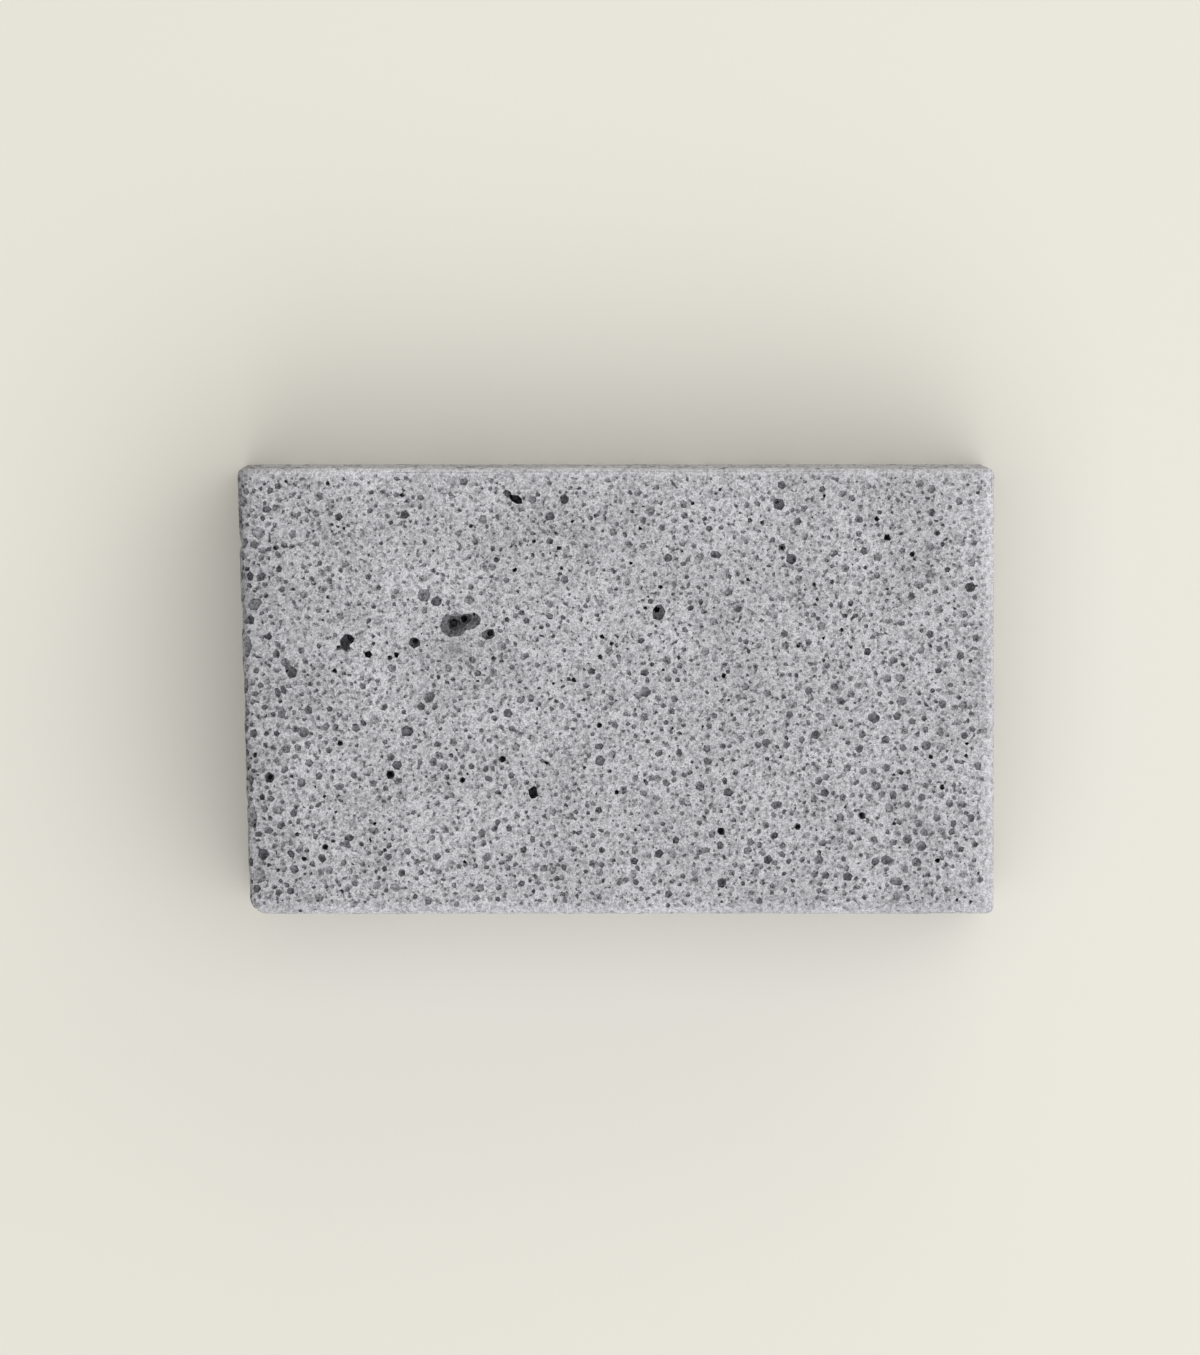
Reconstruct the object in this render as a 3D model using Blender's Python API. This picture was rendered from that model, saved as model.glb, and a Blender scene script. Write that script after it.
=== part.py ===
"""Pumice stone: a rectangular block of foamed rock with worn arrises and open vesicles.

Metres, +Z up. The origin is the middle of the flat underside, +X runs along the block
and +Z goes up through its thickness.
"""
import math
import random

import bmesh
import bpy
from mathutils import Matrix, Vector

# Driving dimensions
LENGTH = 0.100
WIDTH = 0.059
THICKNESS = 0.029
# The left end is sawn slightly out of square: its near corner stands this far in.
LEFT_END_SLANT = 0.0016

# Wear, as the width that each arris has lost
UPRIGHT_ARRIS = 0.0014
NEAR_LEFT_CORNER = 0.0023
TOP_ARRIS = 0.0013
UNDERSIDE_ARRIS = 0.0010
ARRIS_SEGMENTS = 3
CORNER_SEGMENTS = 4

# A vesicle is a bubble that the saw has opened. Its mouth is this share of the bubble's
# full width, so the wall leans back under the rim.
MOUTH_SHARE = 0.90
SINK_SHARE = math.sqrt(1.0 - MOUTH_SHARE ** 2)
BUBBLE_DIVISIONS = 2
GREAT_BUBBLE_DIVISIONS = 3
GREAT_BUBBLE = 0.004

# The large vesicles of the upper face, in millimetres from its middle: x, y, length and
# width of the mouth, depth, and the turn of the long axis in degrees.
MM = 0.001
UPPER_VESICLES = (
    (-20.7, 8.7, 5.6, 3.1, 2.4, 14.0),
    (-22.9, 9.9, 1.7, 1.6, 2.0, 0.0),
    (-17.0, 7.5, 2.0, 1.4, 1.2, -20.0),
    (-26.8, 6.3, 1.5, 1.6, 1.7, 30.0),
    (-23.9, 11.8, 1.6, 1.3, 1.2, 10.0),
    (-25.6, 12.7, 1.9, 1.8, 1.0, 0.0),
    (-13.8, 25.7, 2.7, 1.1, 1.8, -35.0),
    (-6.8, 25.4, 1.3, 1.3, 1.3, 0.0),
    (-8.8, 23.1, 1.4, 1.3, 1.1, 40.0),
    (-28.1, 23.3, 1.2, 1.2, 1.3, 0.0),
    (-36.9, 23.0, 1.1, 1.1, 1.2, 0.0),
    (-35.9, 6.4, 1.7, 2.0, 2.3, 20.0),
    (-33.0, 4.7, 1.2, 1.0, 1.6, 0.0),
    (-43.6, 2.9, 1.9, 1.7, 1.6, 60.0),
    (5.7, 10.4, 1.9, 1.8, 1.8, 0.0),
    (21.7, 24.7, 1.6, 1.6, 1.6, 0.0),
    (22.0, 27.3, 1.2, 1.1, 1.1, 0.0),
    (22.1, 19.0, 1.1, 1.0, 1.2, 0.0),
    (23.3, 17.4, 1.5, 1.4, 1.4, 45.0),
    (13.3, 18.0, 1.6, 1.1, 1.0, -10.0),
    (47.1, 13.7, 1.4, 1.4, 1.5, 0.0),
    (33.5, 5.1, 1.1, 1.1, 1.2, 0.0),
    (-11.0, -13.7, 1.4, 1.6, 2.0, 0.0),
    (-27.8, -5.5, 1.7, 1.6, 1.3, 30.0),
    (-14.4, -3.1, 1.3, 1.3, 1.1, 0.0),
    (-46.1, -11.7, 1.5, 1.5, 1.4, 0.0),
    (-46.9, -21.9, 1.6, 1.6, 1.5, 0.0),
    (-29.1, -10.0, 1.4, 1.3, 1.2, 0.0),
    (3.9, -0.3, 1.5, 1.4, 1.1, 0.0),
    (-2.1, -9.4, 1.4, 1.5, 1.1, 0.0),
    (34.3, -3.7, 1.6, 1.5, 1.2, 0.0),
    (26.6, -6.0, 1.2, 1.2, 1.1, 0.0),
    (5.7, -21.8, 1.3, 1.2, 1.4, 0.0),
    (14.1, -25.7, 1.3, 1.3, 1.4, 0.0),
    (21.4, -15.3, 1.6, 1.1, 1.1, 15.0),
    (20.2, -22.6, 1.2, 1.2, 1.4, 0.0),
    (30.9, -24.9, 1.4, 1.3, 1.3, 0.0),
    (35.9, -22.6, 1.3, 1.3, 1.2, 0.0),
    (27.8, -13.7, 1.2, 1.2, 1.1, 0.0),
    (14.9, -13.6, 1.2, 1.2, 1.2, 0.0),
)

# The other sides carry vesicles of the same sizes, spread at random.
SPREAD_SEED = 41
SPREAD_PER_SQUARE_METRE = 2400.0
SPREAD_MOUTH = (0.0012, 0.0021)
SPREAD_DEPTH = (0.0009, 0.0018)
SPREAD_EDGE_MARGIN = 0.0024
SPREAD_GAP = 0.0070
SPREAD_TRIES = 4000
# The middle of the underside stays whole, because the stone is stood or fixed there.
UNDERSIDE_CLEAR = 0.0060

# Finish
STONE_COLOUR = (0.36, 0.37, 0.39, 1.0)
STONE_ROUGHNESS = 0.95


def clear_scene():
    """Remove every object that the file opened with."""
    for old in list(bpy.data.objects):
        bpy.data.objects.remove(old, do_unlink=True)


def new_collection(name):
    """Make a collection in the scene."""
    collection = bpy.data.collections.new(name)
    bpy.context.scene.collection.children.link(collection)
    return collection


def stone_material():
    """Pale lavender-grey foamed rock with no shine."""
    material = bpy.data.materials.new("pumice")
    material.use_nodes = True
    shader = material.node_tree.nodes["Principled BSDF"]
    shader.inputs["Base Color"].default_value = STONE_COLOUR
    shader.inputs["Roughness"].default_value = STONE_ROUGHNESS
    shader.inputs["Metallic"].default_value = 0.0
    return material


def object_from(bm, name, collection):
    """Turn a finished bmesh into a named object."""
    mesh = bpy.data.meshes.new(name)
    bm.to_mesh(mesh)
    bm.free()
    made = bpy.data.objects.new(name, mesh)
    collection.objects.link(made)
    return made


def upright_edges(bm):
    """The edges that run up and down the block's corners."""
    return [e for e in bm.edges if abs(e.verts[0].co.z - e.verts[1].co.z) > THICKNESS / 2]


def rim_edges(bm, height):
    """The outline of the face that lies at one height."""
    return [e for e in bm.edges if all(abs(v.co.z - height) < 1e-6 for v in e.verts)]


def wear_edges(bm, edges, width, segments):
    """Round a set of edges over, as use has."""
    bmesh.ops.bevel(bm, geom=edges, offset=width, offset_type='OFFSET', segments=segments,
                    profile=0.5, affect='EDGES', clamp_overlap=True, material=-1)


def make_block(collection):
    """The sawn block with its worn arrises, before the vesicles are opened."""
    bm = bmesh.new()
    size = Matrix.Diagonal((LENGTH, WIDTH, THICKNESS, 1.0))
    bmesh.ops.create_cube(bm, size=1.0, matrix=Matrix.Translation((0, 0, THICKNESS / 2)) @ size)
    near_left = [v for v in bm.verts if v.co.x < 0 and v.co.y < 0]
    bmesh.ops.translate(bm, vec=(LEFT_END_SLANT, 0, 0), verts=near_left)
    # The far corner runs out by what its worn arris then takes off the full length.
    far_left = [v for v in bm.verts if v.co.x < 0 and v.co.y > 0]
    bmesh.ops.translate(bm, vec=(-LEFT_END_SLANT * UPRIGHT_ARRIS / WIDTH, 0, 0), verts=far_left)
    worn = [e for e in upright_edges(bm) if all(v in near_left for v in e.verts)]
    square = [e for e in upright_edges(bm) if e not in worn]
    wear_edges(bm, square, UPRIGHT_ARRIS, ARRIS_SEGMENTS)
    worn = [e for e in upright_edges(bm) if e.verts[0].co.x < 0 and e.verts[0].co.y < -WIDTH * 0.49]
    wear_edges(bm, worn, NEAR_LEFT_CORNER, CORNER_SEGMENTS)
    wear_edges(bm, rim_edges(bm, THICKNESS), TOP_ARRIS, ARRIS_SEGMENTS)
    wear_edges(bm, rim_edges(bm, 0.0), UNDERSIDE_ARRIS, ARRIS_SEGMENTS)
    return object_from(bm, "pumice_stone", collection)


def face_frame(origin, along, outward):
    """The matrix that carries a vesicle, drawn flat and facing +Z, onto one side."""
    out = Vector(outward)
    x_axis = Vector(along)
    y_axis = out.cross(x_axis)
    turn = Matrix((x_axis, y_axis, out)).transposed().to_4x4()
    return Matrix.Translation(origin) @ turn


UPPER_FACE = face_frame((0, 0, THICKNESS), (1, 0, 0), (0, 0, 1))
# Each other side: its frame, its size along and across, and the clear circle at its middle.
OTHER_SIDES = (
    (face_frame((0, 0, 0), (1, 0, 0), (0, 0, -1)), LENGTH, WIDTH, UNDERSIDE_CLEAR),
    (face_frame((0, -WIDTH / 2, THICKNESS / 2), (1, 0, 0), (0, -1, 0)), LENGTH, THICKNESS, 0.0),
    (face_frame((0, WIDTH / 2, THICKNESS / 2), (-1, 0, 0), (0, 1, 0)), LENGTH, THICKNESS, 0.0),
    (face_frame((LENGTH / 2, 0, THICKNESS / 2), (0, 1, 0), (1, 0, 0)), WIDTH, THICKNESS, 0.0),
    (face_frame((-LENGTH / 2, 0, THICKNESS / 2), (0, -1, 0), (-1, 0, 0)), WIDTH, THICKNESS, 0.0),
)


def bubble(frame, u, v, length, width, depth, turn):
    """One bubble: its matrix, its middle and its reach, all in the block's frame."""
    half_depth = depth / (1.0 + SINK_SHARE)
    place = frame @ Matrix.Translation((u, v, -SINK_SHARE * half_depth))
    size = Matrix.Diagonal((length / 2 / MOUTH_SHARE, width / 2 / MOUTH_SHARE, half_depth, 1.0))
    matrix = place @ Matrix.Rotation(turn, 4, 'Z') @ size
    reach = max(length / 2 / MOUTH_SHARE, width / 2 / MOUTH_SHARE, half_depth)
    return matrix, matrix.translation.copy(), reach


def upper_bubbles():
    """The bubbles of the upper face, from their listed sizes."""
    return [bubble(UPPER_FACE, x * MM, y * MM, length * MM, width * MM, depth * MM, math.radians(turn))
            for x, y, length, width, depth, turn in UPPER_VESICLES]


def spread_bubbles():
    """Bubbles spread at random over the other five sides, none closer than a set gap."""
    rng = random.Random(SPREAD_SEED)
    found = []
    for frame, along, across, clear in OTHER_SIDES:
        wanted = round(along * across * SPREAD_PER_SQUARE_METRE)
        places = []
        for _ in range(SPREAD_TRIES):
            if len(places) == wanted:
                break
            u = rng.uniform(-1, 1) * (along / 2 - SPREAD_EDGE_MARGIN)
            v = rng.uniform(-1, 1) * (across / 2 - SPREAD_EDGE_MARGIN)
            if math.hypot(u, v) < clear:
                continue
            if any(math.hypot(u - a, v - b) < SPREAD_GAP for a, b in places):
                continue
            places.append((u, v))
        for u, v in places:
            length = rng.uniform(*SPREAD_MOUTH)
            width = length * rng.uniform(0.75, 1.0)
            depth = rng.uniform(*SPREAD_DEPTH)
            found.append(bubble(frame, u, v, length, width, depth, rng.uniform(0, math.pi)))
    return found


def apart_groups(bubbles):
    """Sort the bubbles into groups in which none touches another."""
    groups = []
    for item in bubbles:
        for group in groups:
            if all((item[1] - other[1]).length > item[2] + other[2] for other in group):
                group.append(item)
                break
        else:
            groups.append([item])
    return groups


def make_cutter(name, bubbles, collection):
    """One cutter that holds a group of separate bubbles."""
    bm = bmesh.new()
    for matrix, _, reach in bubbles:
        divisions = GREAT_BUBBLE_DIVISIONS if reach * 2 > GREAT_BUBBLE else BUBBLE_DIVISIONS
        bmesh.ops.create_icosphere(bm, subdivisions=divisions, radius=1.0, matrix=matrix)
    cutter = object_from(bm, name, collection)
    cutter.hide_render = True
    cutter.display_type = 'WIRE'
    return cutter


def open_vesicles(block, cutters):
    """Cut every group of bubbles out of the block."""
    for cutter in cutters:
        cut = block.modifiers.new(cutter.name, 'BOOLEAN')
        cut.operation = 'DIFFERENCE'
        cut.solver = 'EXACT'
        cut.object = cutter


def build():
    """Make the stone and the bubbles that open its surface."""
    clear_scene()
    stone_parts = new_collection("pumice_stone_block")
    cutter_parts = new_collection("vesicle_cutters")
    block = make_block(stone_parts)
    block.data.materials.append(stone_material())
    groups = apart_groups(upper_bubbles() + spread_bubbles())
    cutters = [make_cutter(f"vesicles_{n + 1}", group, cutter_parts) for n, group in enumerate(groups)]
    open_vesicles(block, cutters)
    return block


build()
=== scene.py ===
# %% [markdown]
# # A block of pumice
#
# Pumice is rock that was frothing when it set, so a sawn block of it is all bubbles. This lesson
# models one hand-sized block the way it comes about: first the sawn block with its worn edges,
# then the bubbles that the saw opened, then the wear, and last the dusty grey finish.
#
# The block's true size is fixed by a plain solid that is loaded here. The modelled stone takes the
# place of that solid and never leaves its box.

# %% Load the frame
import math
import random
from collections import namedtuple

import bmesh
import bpy
from mathutils import Matrix, Vector, noise
from mathutils.bvhtree import BVHTree


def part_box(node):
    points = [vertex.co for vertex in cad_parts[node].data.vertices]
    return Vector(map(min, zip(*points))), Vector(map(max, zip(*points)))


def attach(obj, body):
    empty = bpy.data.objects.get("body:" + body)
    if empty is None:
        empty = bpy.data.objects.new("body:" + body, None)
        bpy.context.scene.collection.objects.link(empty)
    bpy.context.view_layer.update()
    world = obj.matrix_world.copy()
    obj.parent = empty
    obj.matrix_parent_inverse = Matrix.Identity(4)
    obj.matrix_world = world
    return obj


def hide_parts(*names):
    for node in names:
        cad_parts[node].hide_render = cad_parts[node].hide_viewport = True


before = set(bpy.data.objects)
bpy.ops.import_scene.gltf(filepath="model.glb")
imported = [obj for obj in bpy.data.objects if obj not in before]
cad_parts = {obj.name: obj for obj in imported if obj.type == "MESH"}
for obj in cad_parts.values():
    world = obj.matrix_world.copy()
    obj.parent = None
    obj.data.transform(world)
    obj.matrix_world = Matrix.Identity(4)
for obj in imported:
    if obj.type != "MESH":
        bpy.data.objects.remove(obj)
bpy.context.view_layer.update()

low_corner, high_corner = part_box("pumice_stone")
LENGTH = round(high_corner[0] - low_corner[0], 4)
WIDTH = round(high_corner[1] - low_corner[1], 4)
THICKNESS = round(high_corner[2] - low_corner[2], 4)
MM = 0.001
print(f"block {LENGTH / MM:.1f} x {WIDTH / MM:.1f} x {THICKNESS / MM:.1f} mm")

# %% [markdown]
# ## The sawn block
#
# The block is a box whose left end was cut slightly out of square, with every edge rubbed round
# and one upright corner worn most. A cube and four passes of the bevel operator make that, because
# a bevel is just what wear does to an edge. The cage could also be subdivided and sculpted, but then
# the flat faces would no longer be flat.

# %% Sawn block
LEFT_END_SLANT = 1.6 * MM
UPRIGHT_ARRIS = 1.0 * MM
NEAR_LEFT_CORNER = 2.3 * MM
TOP_ARRIS = 1.3 * MM
UNDERSIDE_ARRIS = 1.0 * MM
ARRIS_SEGMENTS = 4
CORNER_SEGMENTS = 6
# Of the two upright edges left at the left end, the near one stands further out than this share of
# the width.
CORNER_OUT = 0.49
HAIR = 1e-6


def wear_edges(bm, edges, width, segments):
    """Rub a set of edges round."""
    bmesh.ops.bevel(bm, geom=edges, offset=width, offset_type='OFFSET', segments=segments,
                    profile=0.5, affect='EDGES', clamp_overlap=True, material=-1)


def upright_edges(bm):
    """The edges that run up the block's corners."""
    return [e for e in bm.edges if abs(e.verts[0].co.z - e.verts[1].co.z) > THICKNESS / 2]


def rim_edges(bm, height):
    """The outline of the face at one height."""
    return [e for e in bm.edges if all(abs(v.co.z - height) < HAIR for v in e.verts)]


def sawn_block():
    """The block as it is before any bubble is opened."""
    bm = bmesh.new()
    size = Matrix.Diagonal((LENGTH, WIDTH, THICKNESS, 1.0))
    bmesh.ops.create_cube(bm, size=1.0, matrix=Matrix.Translation((0, 0, THICKNESS / 2)) @ size)
    near_left = [v for v in bm.verts if v.co.x < 0 and v.co.y < 0]
    bmesh.ops.translate(bm, vec=(LEFT_END_SLANT, 0, 0), verts=near_left)
    # The far corner goes out by as much as its rounding takes off the slanting end.
    far_left = [v for v in bm.verts if v.co.x < 0 and v.co.y > 0]
    bmesh.ops.translate(bm, vec=(-LEFT_END_SLANT * UPRIGHT_ARRIS / WIDTH, 0, 0), verts=far_left)
    square = [e for e in upright_edges(bm) if not all(v in near_left for v in e.verts)]
    wear_edges(bm, square, UPRIGHT_ARRIS, ARRIS_SEGMENTS)
    worn = [e for e in upright_edges(bm)
            if e.verts[0].co.x < 0 and e.verts[0].co.y < -WIDTH * CORNER_OUT]
    wear_edges(bm, worn, NEAR_LEFT_CORNER, CORNER_SEGMENTS)
    wear_edges(bm, rim_edges(bm, THICKNESS), TOP_ARRIS, ARRIS_SEGMENTS)
    wear_edges(bm, rim_edges(bm, 0.0), UNDERSIDE_ARRIS, ARRIS_SEGMENTS)
    return bm


block = sawn_block()
skin = BVHTree.FromBMesh(block)
print("sawn block:", len(block.faces), "faces")

# %% [markdown]
# ## Ruling the faces into tiles
#
# Thousands of holes in one great face are slow to cut, because every hole has to be stitched to all
# the others. Ruling the block into small tiles first, with the bisect operator, keeps each stitch
# local, and the tiles' corners later give the wear something to move.

# %% Tiles
TILE = 2.6 * MM
# The first and last line stay clear of a worn edge by this many times its width.
RULE_CLEAR = 1.5


def rule_lines(bm, axis, low, high):
    """Cut the faces along evenly spaced planes across one axis."""
    count = round((high - low) / TILE)
    for n in range(count + 1):
        place = Vector()
        place[axis] = low + (high - low) * n / count
        across = Vector()
        across[axis] = 1.0
        parts = bm.verts[:] + bm.edges[:] + bm.faces[:]
        bmesh.ops.bisect_plane(bm, geom=parts, plane_co=place, plane_no=across, dist=HAIR)


rule_lines(block, 0, -LENGTH / 2 + NEAR_LEFT_CORNER, LENGTH / 2 - RULE_CLEAR * TOP_ARRIS)
rule_lines(block, 1, -WIDTH / 2 + NEAR_LEFT_CORNER, WIDTH / 2 - RULE_CLEAR * TOP_ARRIS)
rule_lines(block, 2, RULE_CLEAR * UNDERSIDE_ARRIS, THICKNESS - RULE_CLEAR * TOP_ARRIS)
print("tiled block:", len(block.faces), "faces")

# %% [markdown]
# ## One bubble
#
# A bubble that the saw has opened is a round hollow. A large one is drawn as a squashed and turned
# ball whose middle may stand above the surface, which leaves a shallow dish, or below it, which
# leaves a deep cell whose wall leans back under the rim. A small one is squeezed by its neighbours
# into a cell with a few flat walls, so it is drawn as a cup with five to seven sides, from the cone
# operator. A cup needs a quarter of a round ball's triangles, so there can be many more of them.

# %% One bubble
# The kind says how dark the wall is painted, as painted shade: an ordinary cell, a throat into cells
# further down, painted nearly black, a dim cell, painted a little darker, or a worn, shallow one that
# is half filled with dust and painted only a little darker.
ORDINARY, THROAT, DIM, WORN = 0, 1, 2, 3
# What a bubble is: the matrix that puts its unit shape in place, the middle and radius of a ball that
# holds all of it, the rings that its mouth takes up, the function that draws it, and its kind.
Bubble = namedtuple("Bubble", "place middle reach rings make kind", defaults=(ORDINARY,))
BALL_OF_20 = 1
BALL_OF_80 = 2
BALL_OF_320 = 3
MEDIUM_BUBBLE = 1.25 * MM
GREAT_BUBBLE = 3.0 * MM
# A ball of twenty flat faces is thinner than the round one by about this much.
COARSE_BALL_GAIN = 1.09
CUP_SIDES = (5, 6, 6, 7)
# How far a cup stands out of the surface, as a share of its depth.
CUP_PROUD = 0.25
# No bubble is quite round: its wall is pushed in and out by this share of its radius. A larger one
# has swollen more freely, so it is smoother.
UNEVEN = 0.26
BALL_UNEVEN = {BALL_OF_20: UNEVEN, BALL_OF_80: 0.16, BALL_OF_320: 0.09}
UNEVEN_PITCH = 1.3
# Far enough apart that neighbouring bubbles are uneven in different ways.
UNEVEN_STEP = 0.11 * MM


def standing_on(point, outward, along):
    """The matrix that stands +Z along the outward direction at a point of the surface."""
    out = Vector(outward).normalized()
    x_axis = (Vector(along) - out * out.dot(Vector(along))).normalized()
    turn = Matrix((x_axis, out.cross(x_axis), out)).transposed().to_4x4()
    return Matrix.Translation(point) @ turn


def make_uneven(bm, verts, place, share=UNEVEN):
    """Push a unit shape's points in and out, then put it in its place."""
    own = place.translation / UNEVEN_STEP
    for v in verts:
        v.co *= 1.0 + share * noise.noise(v.co * UNEVEN_PITCH + own)
    bmesh.ops.transform(bm, matrix=place, verts=verts)


def ball(divisions):
    """How to make a ball of about unit radius."""
    def make(bm, place):
        made = bmesh.ops.create_icosphere(bm, subdivisions=divisions, radius=1.0)
        make_uneven(bm, made["verts"], place, BALL_UNEVEN[divisions])
    return make


def cup(sides, floor):
    """How to make a cup of about unit mouth and depth. floor is its floor's share of its mouth."""
    def make(bm, place):
        middle = Matrix.Translation((0, 0, (CUP_PROUD - 1.0) / 2))
        made = bmesh.ops.create_cone(bm, cap_ends=True, segments=sides, radius1=floor,
                                     radius2=1.0 + (1.0 - floor) * CUP_PROUD,
                                     depth=1.0 + CUP_PROUD, matrix=middle)
        make_uneven(bm, made["verts"], place)
    return make


def open_bubble(stand, length, width, depth, turn, lift):
    """One ball on the surface. lift is its middle's height as a share of its half depth."""
    half_depth = depth / (1.0 - lift)
    spread = 1.0 / math.sqrt(1.0 - lift * lift)
    size = math.sqrt(length * width)
    divisions = BALL_OF_20 if size < MEDIUM_BUBBLE else BALL_OF_80
    if size > GREAT_BUBBLE:
        divisions = BALL_OF_320
    gain = COARSE_BALL_GAIN if divisions == BALL_OF_20 else 1.0
    axes = (length / 2 * spread * gain, width / 2 * spread * gain, half_depth)
    place = stand @ Matrix.Translation((0, 0, lift * half_depth)) @ Matrix.Rotation(turn, 4, 'Z')
    # The mouth is remembered as rings in a row along its long axis.
    shift = (length - width) / 2
    steps = (-shift, 0.0, shift) if shift > 0 else (0.0,)
    rings = [(place @ Vector((s, 0, 0)), width / 2) for s in steps]
    reach = max(axes) * (1.0 + UNEVEN)
    return Bubble(place @ Matrix.Diagonal((*axes, 1.0)), place.translation.copy(), reach, rings,
                  ball(divisions))


def open_cup(stand, length, width, depth, turn, sides, floor):
    """One cup on the surface, as wide at its mouth as a round bubble of this size."""
    # A mouth with few sides is smaller than the circle round it.
    gain = math.sqrt(2 * math.pi / (sides * math.sin(2 * math.pi / sides)))
    size = Matrix.Diagonal((length / 2 * gain, width / 2 * gain, depth, 1.0))
    place = stand @ Matrix.Rotation(turn, 4, 'Z') @ size
    half = (1.0 + CUP_PROUD) / 2
    reach = math.hypot(length / 2 * gain * (1.0 + (1.0 - floor) * CUP_PROUD), depth * half)
    middle = place @ Vector((0, 0, CUP_PROUD - half))
    return Bubble(place, middle, reach * (1.0 + UNEVEN), (), cup(sides, floor))


# %% [markdown]
# ## The large bubbles and the middling cells
#
# The upper face was read cell by cell, the dark ones down to about 0.4 mm across and the grey ones
# to about 0.75 mm, so those are listed one by one, in real sizes. A large bubble says where its mouth is,
# how long, wide and deep it is, and how it is turned. The first two run together into the long
# slanting bubble that catches the eye first, and other cells have broken through its floor. A
# middling cell says only where it is and how wide, is listed by how dark it looks, and gets a
# slightly different shape from a seeded rule. The alternative, to scatter them all by rule, is
# quicker, but then it is any pumice block and not this one.

# %% Large bubbles of the upper face
# A listed bubble's mouth is this share of its widest, and its middle lies as deep as that asks.
LISTED_MOUTH = 0.90
LISTED_LIFT = -math.sqrt(1.0 - LISTED_MOUTH ** 2)
# x, y, length, width and depth in millimetres, and the turn in degrees.
UPPER_BUBBLES = (
    (-21.5, 8.6, 3.7, 3.1, 1.9, 10.0),
    (-19.7, 9.05, 3.7, 2.3, 1.3, 14.0),
    (-22.5, 9.5, 1.4, 1.1, 1.3, 30.0),
    (-17.0, 7.4, 2.0, 1.4, 1.5, 20.0),
    (-26.8, 6.3, 1.5, 1.6, 1.7, 30.0),
    (-23.9, 11.8, 1.6, 1.3, 1.2, 10.0),
    (-25.6, 12.7, 1.9, 1.8, 1.0, 0.0),
    (-14.4, 26.1, 1.4, 0.95, 1.5, -35.0),
    (-6.8, 25.4, 1.3, 1.3, 1.3, 0.0),
    (-8.8, 23.1, 1.4, 1.3, 1.1, 40.0),
    (-28.1, 23.3, 1.2, 1.2, 1.3, 0.0),
    (-36.9, 23.0, 1.1, 1.1, 1.2, 0.0),
    (-36.0, 6.3, 2.2, 1.4, 2.6, 90.0),
    (-35.5, 5.6, 0.6, 0.5, 1.4, 0.0),
    (-43.2, 2.4, 1.8, 1.6, 1.5, -60.0),
    (-43.9, 3.6, 1.5, 1.3, 0.9, -40.0),
    (5.7, 10.3, 2.2, 1.8, 1.8, 80.0),
    (21.7, 24.7, 1.6, 1.6, 1.6, 0.0),
    (22.0, 27.3, 1.2, 1.1, 1.1, 0.0),
    (22.1, 19.0, 1.1, 1.0, 1.2, 0.0),
    (23.3, 17.4, 1.5, 1.4, 1.4, 45.0),
    (13.3, 18.0, 1.6, 1.1, 1.0, -10.0),
    (47.1, 13.7, 1.4, 1.4, 1.5, 0.0),
    (33.5, 5.1, 1.1, 1.1, 1.2, 0.0),
    (-27.8, -5.5, 1.7, 1.6, 1.3, 30.0),
    (-14.4, -3.1, 1.3, 1.3, 1.1, 0.0),
    (-46.1, -11.7, 1.5, 1.5, 1.4, 0.0),
    (-46.9, -21.9, 1.6, 1.6, 1.5, 0.0),
    (-29.1, -10.0, 1.4, 1.3, 1.2, 0.0),
    (3.9, -0.3, 1.5, 1.4, 1.1, 0.0),
    (-2.1, -9.4, 1.4, 1.5, 1.1, 0.0),
    (34.3, -3.7, 1.6, 1.5, 1.2, 0.0),
    (26.6, -6.0, 1.2, 1.2, 1.1, 0.0),
    (5.7, -21.8, 1.3, 1.2, 1.4, 0.0),
    (14.1, -25.7, 1.3, 1.3, 1.4, 0.0),
    (21.4, -15.3, 1.6, 1.1, 1.1, 15.0),
    (20.2, -22.6, 1.2, 1.2, 1.4, 0.0),
    (30.9, -24.9, 1.4, 1.3, 1.3, 0.0),
    (35.9, -22.6, 1.3, 1.3, 1.2, 0.0),
    (27.8, -13.7, 1.2, 1.2, 1.1, 0.0),
    (14.9, -13.6, 1.2, 1.2, 1.2, 0.0),
)
# The four that are black from rim to rim, because they open straight into a cell below.
BLACK_BUBBLES = (
    (-13.3, 25.4, 1.9, 1.1, 2.0, -35.0),
    (-35.5, 6.8, 1.4, 1.35, 2.4, 0.0),
    (-32.9, 4.7, 1.15, 1.0, 1.6, 0.0),
    (-11.0, -13.7, 1.4, 1.6, 2.0, 0.0),
)
# Cells that have broken into the great bubble's floor and walls.
GREAT_BUBBLE_CELLS = (
    (-22.3, 9.3, 1.3, 1.1, 1.6, 20.0),
    (-21.4, 8.8, 2.3, 2.1, 2.9, 0.0),
    (-20.0, 9.4, 1.8, 1.4, 2.6, 15.0),
    (-18.8, 9.5, 1.2, 1.0, 1.8, 60.0),
)
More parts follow.
